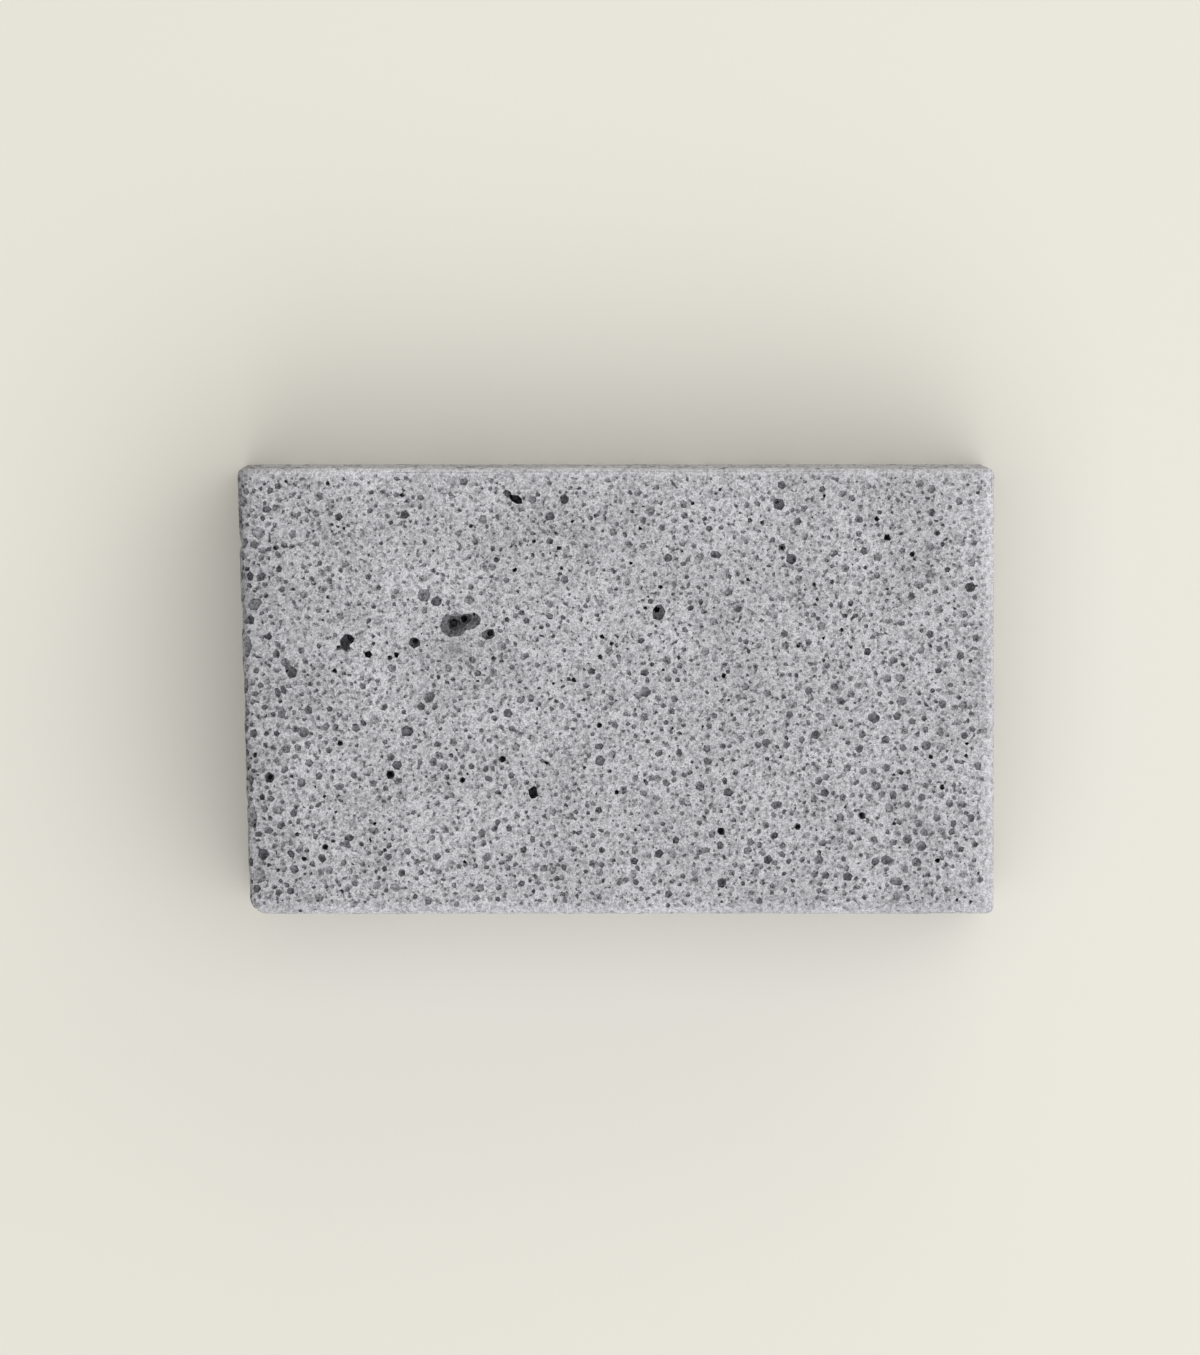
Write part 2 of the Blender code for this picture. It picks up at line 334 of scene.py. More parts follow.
# The left end is coarser than the rest, and its edge is notched by large open cells.
LEFT_END_BUBBLES = (
    (-49.7, 25.1, 1.4, 1.4, 0.5, 0), (-49.2, 26.4, 0.9, 0.9, 0.5, 0),
    (-49.5, 19.5, 1.6, 1.1, 0.8, 60), (-49.7, 17.8, 1.2, 0.9, 0.6, 90),
    (-48.6, 15.1, 1.3, 1.0, 1.1, 90), (-47.2, 15.0, 1.3, 1.1, 1.0, 20),
    (-48.0, 11.4, 2.0, 1.7, 0.8, 30), (-47.6, 20.9, 1.8, 1.7, 0.45, 0),
    (-48.1, 19.4, 1.2, 1.1, 0.9, 0), (-46.4, 24.0, 1.2, 1.1, 0.9, 0),
    (-44.9, 27.1, 0.95, 0.9, 0.8, 0), (-46.0, 26.5, 1.1, 0.8, 0.6, 35),
    (-44.8, 16.1, 0.95, 0.75, 1.1, 90), (-48.6, 9.4, 1.3, 1.1, 1.2, 90),
    (-49.3, 9.3, 1.2, 1.0, 0.6, 0), (-49.1, 5.7, 3.0, 1.3, 1.0, 90),
    (-47.9, 2.6, 0.9, 0.8, 0.6, 90), (-49.4, 0.5, 2.1, 1.1, 0.9, 90),
    (-49.5, -1.7, 1.2, 1.1, 0.7, 90), (-49.3, -2.9, 1.2, 1.1, 0.7, 90),
    (-48.2, -5.8, 1.2, 1.2, 1.1, 0), (-48.0, -0.5, 0.95, 0.8, 0.7, 0),
    (-45.2, 4.8, 1.2, 1.05, 0.8, 90), (-46.2, 7.1, 1.0, 1.0, 1.1, 0),
    (-45.0, 6.1, 0.8, 0.8, 0.7, 0), (-45.2, -5.8, 0.95, 0.8, 1.0, 0),
    (-44.5, -3.0, 1.45, 1.05, 0.8, 80), (-46.7, -2.3, 0.95, 0.8, 0.7, 0),
    (-45.0, -0.4, 1.5, 0.7, 0.8, -75), (-44.2, 0.0, 1.35, 0.8, 0.9, -70),
    (-49.1, -8.3, 1.1, 0.8, 0.9, 90), (-49.1, -10.2, 1.2, 1.2, 0.7, 0),
    (-49.4, -11.7, 0.95, 0.9, 0.7, 0), (-48.5, -12.0, 1.45, 0.7, 1.0, 90),
    (-47.0, -14.3, 0.9, 0.8, 1.2, 90), (-45.9, -14.5, 1.05, 0.8, 0.7, 0),
    (-48.6, -17.0, 2.7, 1.6, 0.9, 80), (-48.1, -18.0, 0.8, 0.7, 1.3, 90),
    (-47.5, -19.2, 1.05, 0.8, 1.0, 0), (-46.2, -18.7, 1.2, 0.9, 0.8, 0),
    (-44.6, -18.0, 1.2, 1.05, 0.9, 60), (-43.2, -21.9, 1.4, 0.95, 1.0, -50),
    (-42.9, -16.4, 1.05, 0.95, 1.0, 90), (-48.6, -22.9, 1.3, 0.8, 0.9, 90),
    (-47.4, -24.7, 2.2, 1.8, 0.6, 90), (-47.8, -26.4, 1.2, 1.05, 1.1, 0),
    (-42.8, -23.9, 1.3, 1.3, 0.8, 0), (-45.0, -16.0, 1.6, 1.3, 0.45, 0),
    (-44.9, -27.0, 0.9, 0.9, 0.8, 0),
)

# Middling cells, in rows of x, y and width in millimetres. Black ones open into others below.
BLACK_CELLS = (
    (-29.2, 4.7, .75), (-13.5, 16.0, .65), (3.2, 21.5, .5), (2.0, 16.9, .5), (5.9, 13.7, .6),
    (36.1, 20.3, .95), (34.7, 22.8, .7), (39.4, 18.1, .75), (-8.3, .9, .5), (-5.6, 1.3, .6),
    (-2.2, -4.7, .75), (-15.1, -9.2, .95), (-9.2, -9.7, .55), (-20.4, -12.0, .8), (6.3, 2.7, .5),
    (14.3, 1.9, .65), (.1, -13.6, .65), (41.9, -8.9, .65), (-36.7, -7.1, .75), (-30.0, -11.3, 1.2),
    (-38.7, -20.9, .8), (-32.1, -17.8, .55), (-30.2, -18.5, .45), (-41.5, -22.5, .7),
    (-9.5, -23.4, .35), (-2.3, -15.9, .45), (14.0, -18.8, 1.0), (24.2, -18.2, .9),
    (2.6, -18.6, .5), (30.8, -24.9, .6), (32.8, -16.7, .95), (37.0, -17.8, .55), (46.6, -8.8, .6),
)
DIM_CELLS = (
    (-25.5, 10.6, .9), (-32.7, 23.8, .7), (-43.1, 19.1, .75), (-31.6, 13.6, .75), (-29.2, 13.1, .75),
    (-32.2, 11.1, .7), (-46.2, 18.7, .7), (-14.6, 14.6, .75), (-46.7, 24.9, .65), (-45.9, 9.8, .65),
    (-26.0, 25.6, .85), (-39.9, 19.4, .8), (-44.4, 13.4, .85), (-32.9, 15.1, .8), (-19.3, 13.7, .8),
    (-33.7, .5, .85), (-8.8, 9.8, .9), (-12.5, 10.3, .8), (-11.9, 9.2, .8), (-8.8, 19.8, .9),
    (-18.7, 19.7, .85), (-20.2, 27.7, 1.0), (9.2, 8.0, .8), (9.9, 10.9, .8), (17.3, 6.4, .8),
    (16.2, 10.8, 1.0), (22.4, 7.5, .95), (24.3, 14.9, .8), (25.0, 24.2, .8), (24.2, 22.4, .95),
    (18.8, 24.8, .8), (9.1, 23.2, .9), (9.0, 24.7, 1.0), (6.1, 21.6, .95), (3.6, 22.6, .85),
    (12.4, 21.5, .85), (6.9, 17.6, 1.1), (3.4, 6.6, .9), (6.8, 3.9, 1.05), (25.6, 6.4, .9),
    (27.4, 26.7, .85), (31.4, 25.5, .85), (32.3, 22.7, 1.0), (32.3, 20.8, .8), (42.0, 26.7, 1.05),
    (45.6, 25.1, 1.0), (42.0, 23.6, .95), (42.7, 20.9, .85), (33.0, 18.5, 1.1), (30.5, 16.2, 1.1),
    (34.7, 15.2, .85), (44.1, 16.0, .8), (39.3, 12.5, 1.0), (31.2, 11.5, .8), (41.8, 7.4, 1.05),
    (47.9, 6.9, .95), (37.0, 3.9, 1.0), (43.0, 5.5, .85), (45.8, 4.5, 1.0), (-19.1, 4.0, .9),
    (-18.4, 2.2, .8), (-3.3, 2.5, 1.2), (2.9, -.7, .95), (-24.8, -1.0, 1.5), (-25.9, -2.2, 1.0),
    (-24.1, -2.2, .9), (-16.7, -2.7, .85), (-13.8, -5.2, .85), (-23.7, -7.2, .85), (-24.3, -9.6, 1.1),
    (-22.9, -10.2, 1.0), (-19.2, -10.2, .8), (-17.3, -10.5, .8), (-16.9, -11.8, .95),
    (-13.9, -11.4, .8), (-7.2, -2.1, .8), (-.1, -4.7, .8), (-2.2, -7.5, .95), (2.6, -11.7, .8),
    (-11.3, -1.1, 1.1), (3.8, 2.3, 1.0), (17.2, .4, .95), (7.8, -1.2, .9), (7.4, -2.8, .85),
    (3.8, -3.6, 1.05), (23.1, -3.3, .95), (12.4, -4.8, .8), (24.7, -6.6, .85), (18.9, -7.3, .9),
    (20.0, -7.0, 1.1), (22.7, -7.3, .9), (14.2, -7.5, .8), (5.7, -8.4, .95), (8.4, -8.4, .95),
    (12.2, -9.5, 1.1), (15.9, -11.0, .8), (4.7, -11.7, .8), (6.7, -12.4, .95), (11.2, -12.8, 1.3),
    (14.5, -12.1, .8), (36.1, 1.5, 1.0), (42.9, 2.6, .9), (25.6, -.1, .95), (31.3, -.5, .95),
    (29.9, -1.5, 1.15), (43.5, -1.9, 1.0), (37.4, -3.5, 1.1), (39.4, -4.2, .9), (41.0, -3.8, .75),
    (47.4, -5.2, .8), (41.2, -5.3, .8), (46.4, -6.1, 1.0), (32.8, -5.9, 1.0), (35.9, -6.6, 1.1),
    (32.4, -7.8, 1.1), (38.2, -7.7, .9), (39.9, -7.8, .75), (41.3, -7.4, 1.35), (48.2, -10.1, 1.0),
    (44.5, -10.4, .85), (36.0, -10.4, 1.15), (33.0, -10.8, .95), (34.3, -10.8, .85),
    (37.8, -10.9, .8), (27.9, -11.6, .85), (27.0, -12.1, 1.05), (34.6, -12.8, 1.35),
    (38.4, -13.0, 1.15), (41.2, -12.7, .8), (-40.9, -2.7, 1.2), (-30.8, -2.3, .85), (-38.1, -2.5, .8),
    (-41.6, -5.6, 1.5), (-42.6, -5.2, .95), (-37.3, -5.0, .85), (-34.6, -5.0, 1.2),
    (-33.6, -4.4, .85), (-41.0, -7.3, .85), (-38.2, -8.0, .85), (-40.8, -9.7, 1.1),
    (-44.1, -10.6, .95), (-39.5, -11.5, .9), (-41.9, -12.4, 1.25), (-36.8, -12.9, 1.05),
    (-32.3, -12.4, 1.0), (-35.5, -19.7, 1.05), (-35.8, -20.6, .95), (-30.2, -20.7, .8),
    (-27.7, -21.5, .9), (-39.1, -22.4, 1.1), (-36.2, -23.0, .8), (-30.3, -22.2, 1.0),
    (-28.5, -24.4, 1.15), (-34.7, -25.7, .9), (-43.3, -26.8, .9), (-2.3, -16.0, .95),
    (-15.7, -17.6, .85), (-16.2, -18.5, .8), (-17.8, -19.1, 1.15), (-23.8, -22.2, 1.15),
    (-12.3, -21.3, .9), (-5.6, -21.2, .8), (-1.9, -21.3, .8), (-1.9, -23.3, .75), (-7.3, -22.5, .75),
    (-9.6, -23.8, .95), (-23.6, -24.2, .8), (-10.4, -25.6, .8), (-12.6, -25.8, .85),
    (-15.6, -26.3, .8), (-18.1, -26.4, 1.1), (2.4, -22.8, 1.1), (2.7, -25.6, .85),
    (-11.1, -19.9, .8), (-17.6, -20.4, .8), (-14.2, -18.4, .9), (3.7, -13.7, .85), (8.0, -20.0, .95),
    (12.8, -19.2, .95), (13.9, -20.7, 1.0), (12.1, -21.3, .85), (21.1, -19.4, 1.0),
    (17.9, -20.3, .95), (21.1, -23.0, .8), (22.1, -21.9, .85), (19.1, -28.1, .9), (20.0, -18.0, .85),
    (7.0, -27.2, .95), (30.2, -14.3, .9), (36.9, -14.0, 1.05), (40.7, -14.3, 1.0),
    (38.8, -15.3, .9), (44.4, -15.1, 1.05), (47.3, -17.1, 1.0), (40.3, -17.8, .95),
    (44.9, -17.8, .9), (44.7, -18.9, .85), (31.3, -18.9, 1.0), (38.8, -19.9, 1.3), (36.9, -20.3, .95),
    (27.5, -20.4, .95), (31.2, -20.9, .8), (40.7, -20.8, 1.4), (47.8, -20.6, .8), (45.8, -21.2, .95),
    (40.0, -22.9, 1.3), (34.5, -22.8, 1.15), (27.0, -22.6, 1.25), (27.9, -24.7, 1.0),
    (48.5, -25.3, .85), (36.9, -25.5, .9), (37.6, -25.6, 1.1), (38.7, -26.4, .9), (32.0, -26.3, .8),
    (42.7, -17.0, 1.1),
    (-46.2, 22.1, .65), (-32.5, 26.3, .6), (-31.9, 24.5, .55), (-37.8, 22.0, .5), (-41.1, 22.6, .6),
    (-36.6, 15.9, .65), (-47.3, .6, .75), (-16.4, 18.8, .65), (-15.3, 18.7, .6), (-11.5, 14.1, .55),
    (-6.9, 5.3, .6), (-4.0, 19.2, .65), (-44.2, 10.7, .45), (3.9, 10.9, .6), (4.6, 11.8, .75),
    (8.2, 7.4, .5), (11.3, 11.7, .75), (16.5, 6.7, .65), (19.0, 5.9, .7), (25.4, 10.1, .7),
    (24.2, 8.2, .5), (14.8, 15.8, .65), (17.3, 19.7, .65), (17.4, 24.6, .75), (12.9, 24.1, .75),
    (11.8, 22.8, .65), (14.0, 21.6, .65), (9.3, 21.7, .65), (7.7, 22.5, .7), (4.0, 23.8, .5),
    (-.1, 25.1, .5), (.1, 22.1, .6), (9.0, 16.8, .75), (9.6, 17.4, .6), (36.3, 25.6, .6),
    (44.5, 19.8, .4), (41.5, 17.0, .6), (41.4, 15.2, .6), (42.5, 13.1, .7), (35.3, 12.7, .55),
    (31.1, 10.5, .6), (30.5, 9.9, .75), (33.9, 10.0, .6), (41.4, 10.2, .65), (33.3, 8.5, .6),
    (36.4, 6.3, .55), (36.5, 3.4, .5), (28.1, 3.2, .7), (35.4, 4.9, .5), (41.8, 22.2, .65),
    (29.0, 8.9, .45), (-25.1, 2.9, .6), (-13.9, .6, .5), (-13.8, 3.0, .65), (-4.0, .6, .75),
    (-2.3, 1.8, .75), (-1.7, -.2, .55), (2.6, 1.1, .65), (-16.2, -3.8, .75), (-10.6, -4.4, .5),
    (-17.9, -5.4, .6), (-21.4, -5.3, .6), (-19.5, -6.2, .6), (-16.8, -6.7, .7), (-18.9, -8.1, .75),
    (-18.3, -10.5, .45), (-22.1, -10.7, .4), (-22.5, -11.6, .7), (-6.5, -5.0, .55),
    (-5.5, -4.0, .6), (-.7, -4.3, .7), (2.4, -4.9, .65), (1.3, -8.1, .45), (8.5, 3.2, .75),
    (7.0, 1.4, .75), (8.2, 1.3, .65), (18.6, 3.1, .75), (24.0, 1.9, .65), (6.3, -2.1, .7),
    (14.5, -.7, .6), (14.0, -1.4, .6), (22.3, -.9, .7), (13.1, -3.4, .75), (6.7, -4.3, .7),
    (9.0, -4.7, .6), (10.8, -4.0, .5), (21.1, -5.3, .7), (15.1, -5.5, .45), (7.7, -11.0, .75),
    (23.4, -11.1, .6), (17.2, -13.5, .5), (26.4, 1.8, .55), (29.1, 1.7, .55), (31.6, 4.0, .5),
    (46.1, 2.7, .65), (47.2, 3.9, .6), (44.5, .7, .65), (30.9, -.8, .45), (26.9, -3.3, .6),
    (24.2, -4.5, .5), (36.6, -1.7, .6), (39.2, -.6, .4), (40.3, -1.7, .6), (46.4, -4.3, .4),
    (46.8, -4.1, .6), (40.1, -5.9, .7), (37.1, -7.8, .5), (35.5, -7.0, .4), (43.4, -9.5, .65),
    (43.9, -9.1, .65), (45.4, -9.5, .65), (46.1, -9.6, .65), (42.3, -10.0, .65), (27.0, -9.4, .5),
    (27.7, -9.1, .35), (33.4, -9.4, .35), (38.9, -10.9, .6), (32.0, -12.3, .75), (36.2, -12.8, .5),
    (42.9, -12.3, .5), (43.8, -12.3, .5), (41.8, -12.1, .55), (46.5, -13.7, .5), (31.5, -14.0, .65),
    (45.0, -12.7, .7), (-43.6, -4.9, .6), (-39.6, -5.0, .5), (-30.5, -4.1, .5), (-39.6, -3.7, .55),
    (-28.5, -7.2, .5), (-27.7, -7.1, .5), (-26.0, -6.8, .5), (-31.1, -8.9, .5), (-32.9, -8.9, .5),
    (-26.1, -9.6, .75), (-43.0, -10.4, .6), (-39.2, -10.5, .4), (-36.6, -11.9, .4),
    (-34.1, -12.9, .45), (-28.2, -11.4, .35), (-43.3, -14.0, .35), (-41.5, -13.6, .4),
    (-30.6, -13.1, .75), (-36.1, -13.5, .55), (-40.5, -15.6, .6), (-41.5, -15.6, .45),
    (-46.0, -17.1, .65), (-40.0, -19.5, .75), (-37.6, -19.2, .55), (-36.5, -20.5, .65),
    (-33.9, -20.5, .65), (-41.1, -21.4, .6), (-45.0, -22.2, .45), (-40.4, -23.2, .75),
    (-43.0, -23.9, .7), (-31.9, -24.2, .55), (-30.8, -23.8, .75), (-24.4, -23.9, .65),
    (-25.9, -24.3, .75), (-26.5, -25.1, .6), (-31.6, -25.0, .6), (-32.6, -25.2, .45),
    (-36.8, -26.0, .55), (-40.5, -25.7, .3), (-24.4, -18.8, .65), (-24.4, -19.7, .7),
    (-31.4, -21.8, .7), (-33.7, -23.2, .65), (-32.7, -18.6, .5), (-18.4, -12.9, .55),
    (-22.5, -14.3, .7), (-21.8, -14.0, .7), (-11.9, -12.3, .65), (-8.0, -13.9, .65),
    (-21.0, -16.1, .45), (-18.7, -15.9, .4), (-9.6, -16.8, .6), (-11.7, -16.9, .55),
    (-13.8, -17.3, .4), (-3.7, -16.4, .55), (2.0, -16.5, .5), (-13.1, -18.8, .35),
    (-11.6, -18.9, .55), (-9.0, -20.4, .7), (-6.2, -20.5, .45), (-13.8, -20.8, .45),
    (-22.4, -21.4, .65), (-21.1, -20.3, .45), (-15.2, -23.0, .7), (-14.4, -23.7, .75),
    (-18.7, -23.4, .7), (-20.9, -23.5, .7), (-22.5, -24.0, .5), (-8.4, -22.0, .35),
    (-8.6, -23.2, .35), (-6.9, -23.6, .8), (-10.8, -24.8, .7), (-13.4, -26.2, .65),
    (-11.4, -25.4, .55), (-21.5, -26.0, .7), (-23.1, -25.9, .4), (-15.7, -27.9, .7),
    (-21.2, -28.5, .75), (-7.9, -25.1, .75), (-7.2, -25.0, .7), (-3.0, -20.6, .65),
    (-4.0, -24.2, .6), (-3.1, -19.4, .75), (1.6, -19.7, .6), (-6.8, -28.0, .7), (-5.4, -17.2, .5),
    (-25.0, -28.1, .95), (3.2, -15.3, .4), (5.4, -16.4, .6), (8.8, -16.4, .6), (12.1, -16.2, .65),
    (14.0, -16.1, .5), (17.0, -15.7, .65), (16.3, -15.8, .5), (18.8, -15.9, .55),
    (25.1, -15.0, .55), (6.2, -17.8, .65), (6.5, -18.7, .7), (7.4, -18.3, .6), (7.6, -20.9, .35),
    (11.1, -17.7, .75), (19.0, -18.9, .55), (19.1, -20.6, .75), (21.6, -23.7, .6),
    (20.5, -23.7, .4), (19.9, -24.1, .4), (21.0, -20.1, .35), (23.0, -22.8, .7), (24.8, -22.6, .75),
    (8.9, -24.8, .7), (5.1, -25.8, .6), (4.7, -25.3, .45), (6.5, -25.9, .35), (5.7, -26.9, .55),
    (6.9, -28.7, .65), (1.6, -28.3, .4), (19.5, -25.6, .75), (22.5, -26.7, .65), (18.0, -27.0, .7),
    (9.6, -27.3, .65), (14.7, -26.3, .35), (17.8, -24.9, .3), (7.5, -25.5, .7), (3.4, -26.5, .65),
    (2.9, -23.7, .7), (29.0, -15.5, .4), (28.5, -16.9, .4), (26.3, -16.6, .65), (32.8, -15.6, .5),
    (35.8, -20.1, .45), (28.4, -20.3, .6), (32.4, -19.8, .65), (42.1, -21.3, .4),
    (43.4, -21.7, .55), (45.4, -22.1, .6), (43.4, -22.3, .65), (45.3, -19.5, .4),
    (46.6, -16.4, .65), (39.5, -22.0, .45), (37.5, -23.0, .4), (30.3, -22.5, .7),
    (30.7, -23.7, .75), (33.1, -25.3, .6), (36.1, -26.0, .55), (42.0, -25.7, .55),
    (42.9, -25.0, .7), (45.0, -26.4, .3), (29.2, -26.5, .65), (27.0, -26.7, .75),
    (30.9, -28.0, .55), (42.8, -27.8, .5), (34.6, -26.8, .4), (32.6, -22.0, .55), (47.7, -22.7, .7),
    (44.8, -23.5, .6),
)
GREY_CELLS = (
    (-34.9, -28.4, 1.05), (-43.0, 20.7, 1.15), (-41.5, 12.7, 1.15), (-39.0, 13.4, 1.2), (-29.8, 2.9, 1.2),
    (-15.2, 5.8, 1.25), (-12.2, 4.5, 1.1), (-8.8, 11.5, 1.05), (-6.8, 14.7, 1.05),
    (-11.1, 25.3, 1.05), (-17.7, 22.7, 1.3), (-19.5, 12.0, 1.3), (-39.4, 25.8, 1.05),
    (13.0, 9.1, 1.0), (22.5, 5.9, 1.05), (15.0, 13.1, 1.0), (4.6, 23.8, 1.25), (-.9, 5.2, 1.05),
    (11.9, 5.1, 1.0), (30.1, 26.1, 1.0), (40.4, 27.4, 1.1), (41.8, 19.0, 1.15), (28.9, 18.2, 1.0),
    (34.8, 17.7, 1.1), (42.0, 15.5, 1.1), (47.3, 17.0, 1.0), (40.3, 14.0, 1.05), (43.0, 10.7, 1.2),
    (46.2, 10.1, 1.0), (27.3, 8.5, 1.15), (47.5, 19.5, 1.15), (-16.3, 2.3, 1.2), (-.4, 3.4, 1.15),
    (-13.0, -5.9, 1.0), (-21.6, -6.9, 1.1), (-20.0, -7.6, 1.05), (-23.5, -8.7, 1.0),
    (23.6, -1.9, 1.05), (12.1, -7.8, 1.05), (24.6, -7.8, 1.0), (5.5, -11.8, 1.15), (37.8, 1.6, 1.3),
    (43.7, 3.4, 1.0), (29.0, .4, 1.05), (38.0, -1.5, 1.35), (46.2, -2.0, 1.1), (48.8, -5.4, 1.2),
    (43.2, -5.6, 1.0), (43.2, -7.6, 1.1), (30.8, -10.3, 1.1), (26.8, -10.6, 1.0), (-32.1, -3.9, 1.05),
    (-38.7, -4.9, 1.05), (-43.9, -7.8, 1.35), (-29.0, -12.1, 1.0), (-30.0, -8.9, 1.05),
    (-32.2, -18.8, 1.1), (-38.2, -24.0, 1.0), (-39.3, -24.2, 1.0), (-31.8, -26.0, 1.05),
    (-29.4, -26.3, 1.3), (-39.5, -27.7, 1.05), (-13.5, -12.4, 1.15), (-6.8, -12.9, 1.0),
    (-22.7, -18.5, 1.0), (-17.2, -22.3, 1.3), (-3.0, -23.2, 1.05), (-18.6, -27.7, 1.0),
    (1.0, -13.3, 1.0), (-2.4, -27.7, 1.0), (2.3, -24.5, 1.0), (11.2, -21.4, 1.1), (18.5, -24.3, 1.1),
    (17.5, -21.4, 1.0), (11.0, -28.0, 1.0), (40.3, -15.7, 1.1), (46.0, -15.3, 1.1),
    (36.3, -15.7, 1.2), (29.9, -16.9, 1.05), (43.4, -18.8, 1.0), (41.0, -19.0, 1.0),
    (34.3, -20.0, 1.05), (44.4, -21.9, 1.0), (36.6, -22.9, 1.0), (38.4, -23.9, 1.0),
    (46.3, -24.5, 1.05), (37.4, -27.6, 1.0),
    (-38.2, 16.1, .95), (-36.0, 16.7, .95), (-36.6, 9.9, .95), (-39.2, 3.1, .95), (-17.9, 6.1, .95),
    (-16.5, 16.4, .9), (-17.7, 16.4, .9), (-43.0, 26.0, .9), (-39.9, 23.5, .9), (-39.5, 10.7, .9),
    (-41.3, 3.8, .85), (-38.7, 20.4, .85), (-39.2, 15.6, .8), (-38.1, 14.5, .8), (-36.1, .9, .8),
    (-20.9, 20.8, .85), (2.9, 26.2, .95), (-.4, 21.0, .95), (1.4, 14.3, .95), (1.7, 19.4, .9),
    (-2.1, 11.6, .9), (24.0, 4.0, .9), (21.1, 9.9, .85), (16.1, 15.5, .9), (22.1, 12.1, .75),
    (20.9, 17.5, .8), (23.6, 21.1, .8), (7.7, 21.3, .85), (3.6, 19.2, .85), (8.8, 19.5, .8),
    (13.2, 4.1, .8), (18.1, 10.1, .8), (18.2, 13.3, .8), (1.3, 22.4, .75), (32.5, 24.2, .85),
    (36.7, 21.6, .9), (46.3, 8.8, .9), (45.7, 16.4, .9), (36.3, 9.1, .9), (37.9, 8.9, .85),
    (29.8, 11.3, .9), (45.9, 19.5, .9), (45.0, 14.1, .9), (38.5, 7.6, .8), (39.0, 6.9, .85),
    (40.6, 5.3, .85), (38.1, 18.5, .8), (28.4, 22.6, .85), (35.4, 19.8, .75), (44.4, 24.2, .75),
    (35.7, 14.6, .75), (-22.3, 2.9, .95), (-17.0, 1.2, .9), (-8.9, 2.8, .9), (-14.9, -1.0, .95),
    (-12.6, -1.3, 1.0), (-20.7, -1.0, .8), (-18.6, -.8, .9), (-13.3, -7.6, .95), (-.5, -8.6, .95),
    (-8.3, -3.8, .8), (-11.2, -6.4, .8), (-15.0, -7.0, .8), (-18.6, .3, .8), (10.2, .8, .85),
    (16.3, 3.2, .9), (24.3, .4, .9), (5.6, -1.1, .85), (20.1, -.4, .9), (22.6, -4.5, .85),
    (19.3, -5.7, .9), (16.6, -6.5, .9), (6.6, -7.2, .8), (16.3, -1.0, .85), (32.2, .6, .9),
    (27.3, -3.6, .9), (27.9, -1.4, .8), (27.0, -2.3, .85), (45.0, -2.4, .9), (44.4, -.3, .85),
    (45.5, -4.3, .85), (48.5, -11.8, .9), (38.4, -5.6, .85), (31.2, 1.5, .75), (36.6, -12.0, .75),
    (32.1, -4.6, .8), (-42.3, -7.7, .9), (-46.5, -8.5, .85), (-45.0, -9.5, .95),
    (-40.4, -14.5, .95), (-35.7, -26.4, .9), (-26.5, -22.9, .9), (-28.8, -14.0, .9),
    (-33.5, -16.7, .75), (-31.6, -14.4, .75), (-37.7, -3.9, .85), (-34.9, -11.3, .9),
    (-46.8, -15.8, .9), (-42.1, -21.3, .9), (-44.3, -23.0, .8), (-13.2, -16.7, .9),
    (-8.4, -16.2, .95), (-14.2, -22.3, .95), (-2.1, -24.3, .95), (1.0, -14.8, .85), (.4, -25.6, .9),
    (-19.4, -12.9, .85), (-8.4, -18.4, .85), (-6.0, -16.8, .8), (-1.2, -19.2, .8),
    (-8.4, -24.0, .9), (2.5, -21.4, .9), (-5.5, -12.6, .75), (-15.8, -19.7, .75),
    (-14.9, -27.4, .8), (8.8, -14.8, .9), (16.8, -23.5, .85), (15.4, -24.3, .85),
    (19.5, -21.7, .85), (23.3, -16.3, .85), (25.3, -16.1, .85), (10.4, -24.5, .9),
    (10.5, -25.3, .8), (7.5, -21.9, .95), (2.6, -21.2, .85), (10.6, -19.2, .85), (5.4, -14.4, .9),
    (12.3, -23.9, .85), (25.3, -19.5, .9), (4.0, -18.5, .85), (15.8, -23.3, .75), (1.3, -25.3, .8),
    (26.4, -14.5, .95), (33.7, -14.3, .9), (35.4, -13.9, .9), (43.2, -14.0, .9), (31.2, -16.6, .85),
    (29.7, -18.6, .95), (47.3, -23.7, .85), (26.5, -24.5, .95), (42.0, -27.0, .9),
    (27.8, -27.9, .9), (30.4, -26.1, .85), (29.8, -20.1, .9), (47.1, -26.0, .85), (27.9, -26.9, .8),
    (29.8, -23.5, .75), (37.5, -19.1, .75),
)
# Shallow dishes, whose walls the dust has half covered.
PALE_CELLS = (
    (-31.5, 9.2, 1.4), (-11.0, 27.8, 1.2), (-21.8, 27.6, 1.15), (-21.7, 5.3, 2.3), (1.6, 4.1, 1.4),
    (38.4, 11.6, 1.0), (45.1, 20.5, 1.0), (-28.7, -8.3, 1.35), (-35.3, -17.7, 1.1),
    (-40.9, -27.7, 1.0), (-11.9, -24.4, 1.3), (22.0, -27.8, 1.3), (22.1, -25.8, 1.2),
    (17.0, -24.3, 1.0), (33.2, -15.8, 1.05),
)

# Throats in the floors of the large bubbles, one by one: x, y, width and depth.
THROATS = (
    (-21.6, 8.8, 1.75, 4.6), (-20.2, 9.4, 1.35, 4.2), (-18.9, 10.0, 0.55, 2.6),
    (-16.7, 7.55, 1.3, 2.0), (5.5, 10.6, 1.1, 2.8),
    (-26.7, 6.4, 1.2, 2.4), (42.8, -22.7, 0.7, 2.2),
    (-46.0, -11.7, 1.1, 2.4), (21.5, 25.0, 0.75, 2.4), (22.1, 18.9, 0.7, 2.0),
    (23.7, 17.3, 0.55, 2.0), (-43.7, 2.5, 0.55, 2.4), (3.9, 10.9, 0.55, 1.2),
)
THROAT_FLOOR = 0.45
MIDDLING_SEED = 3
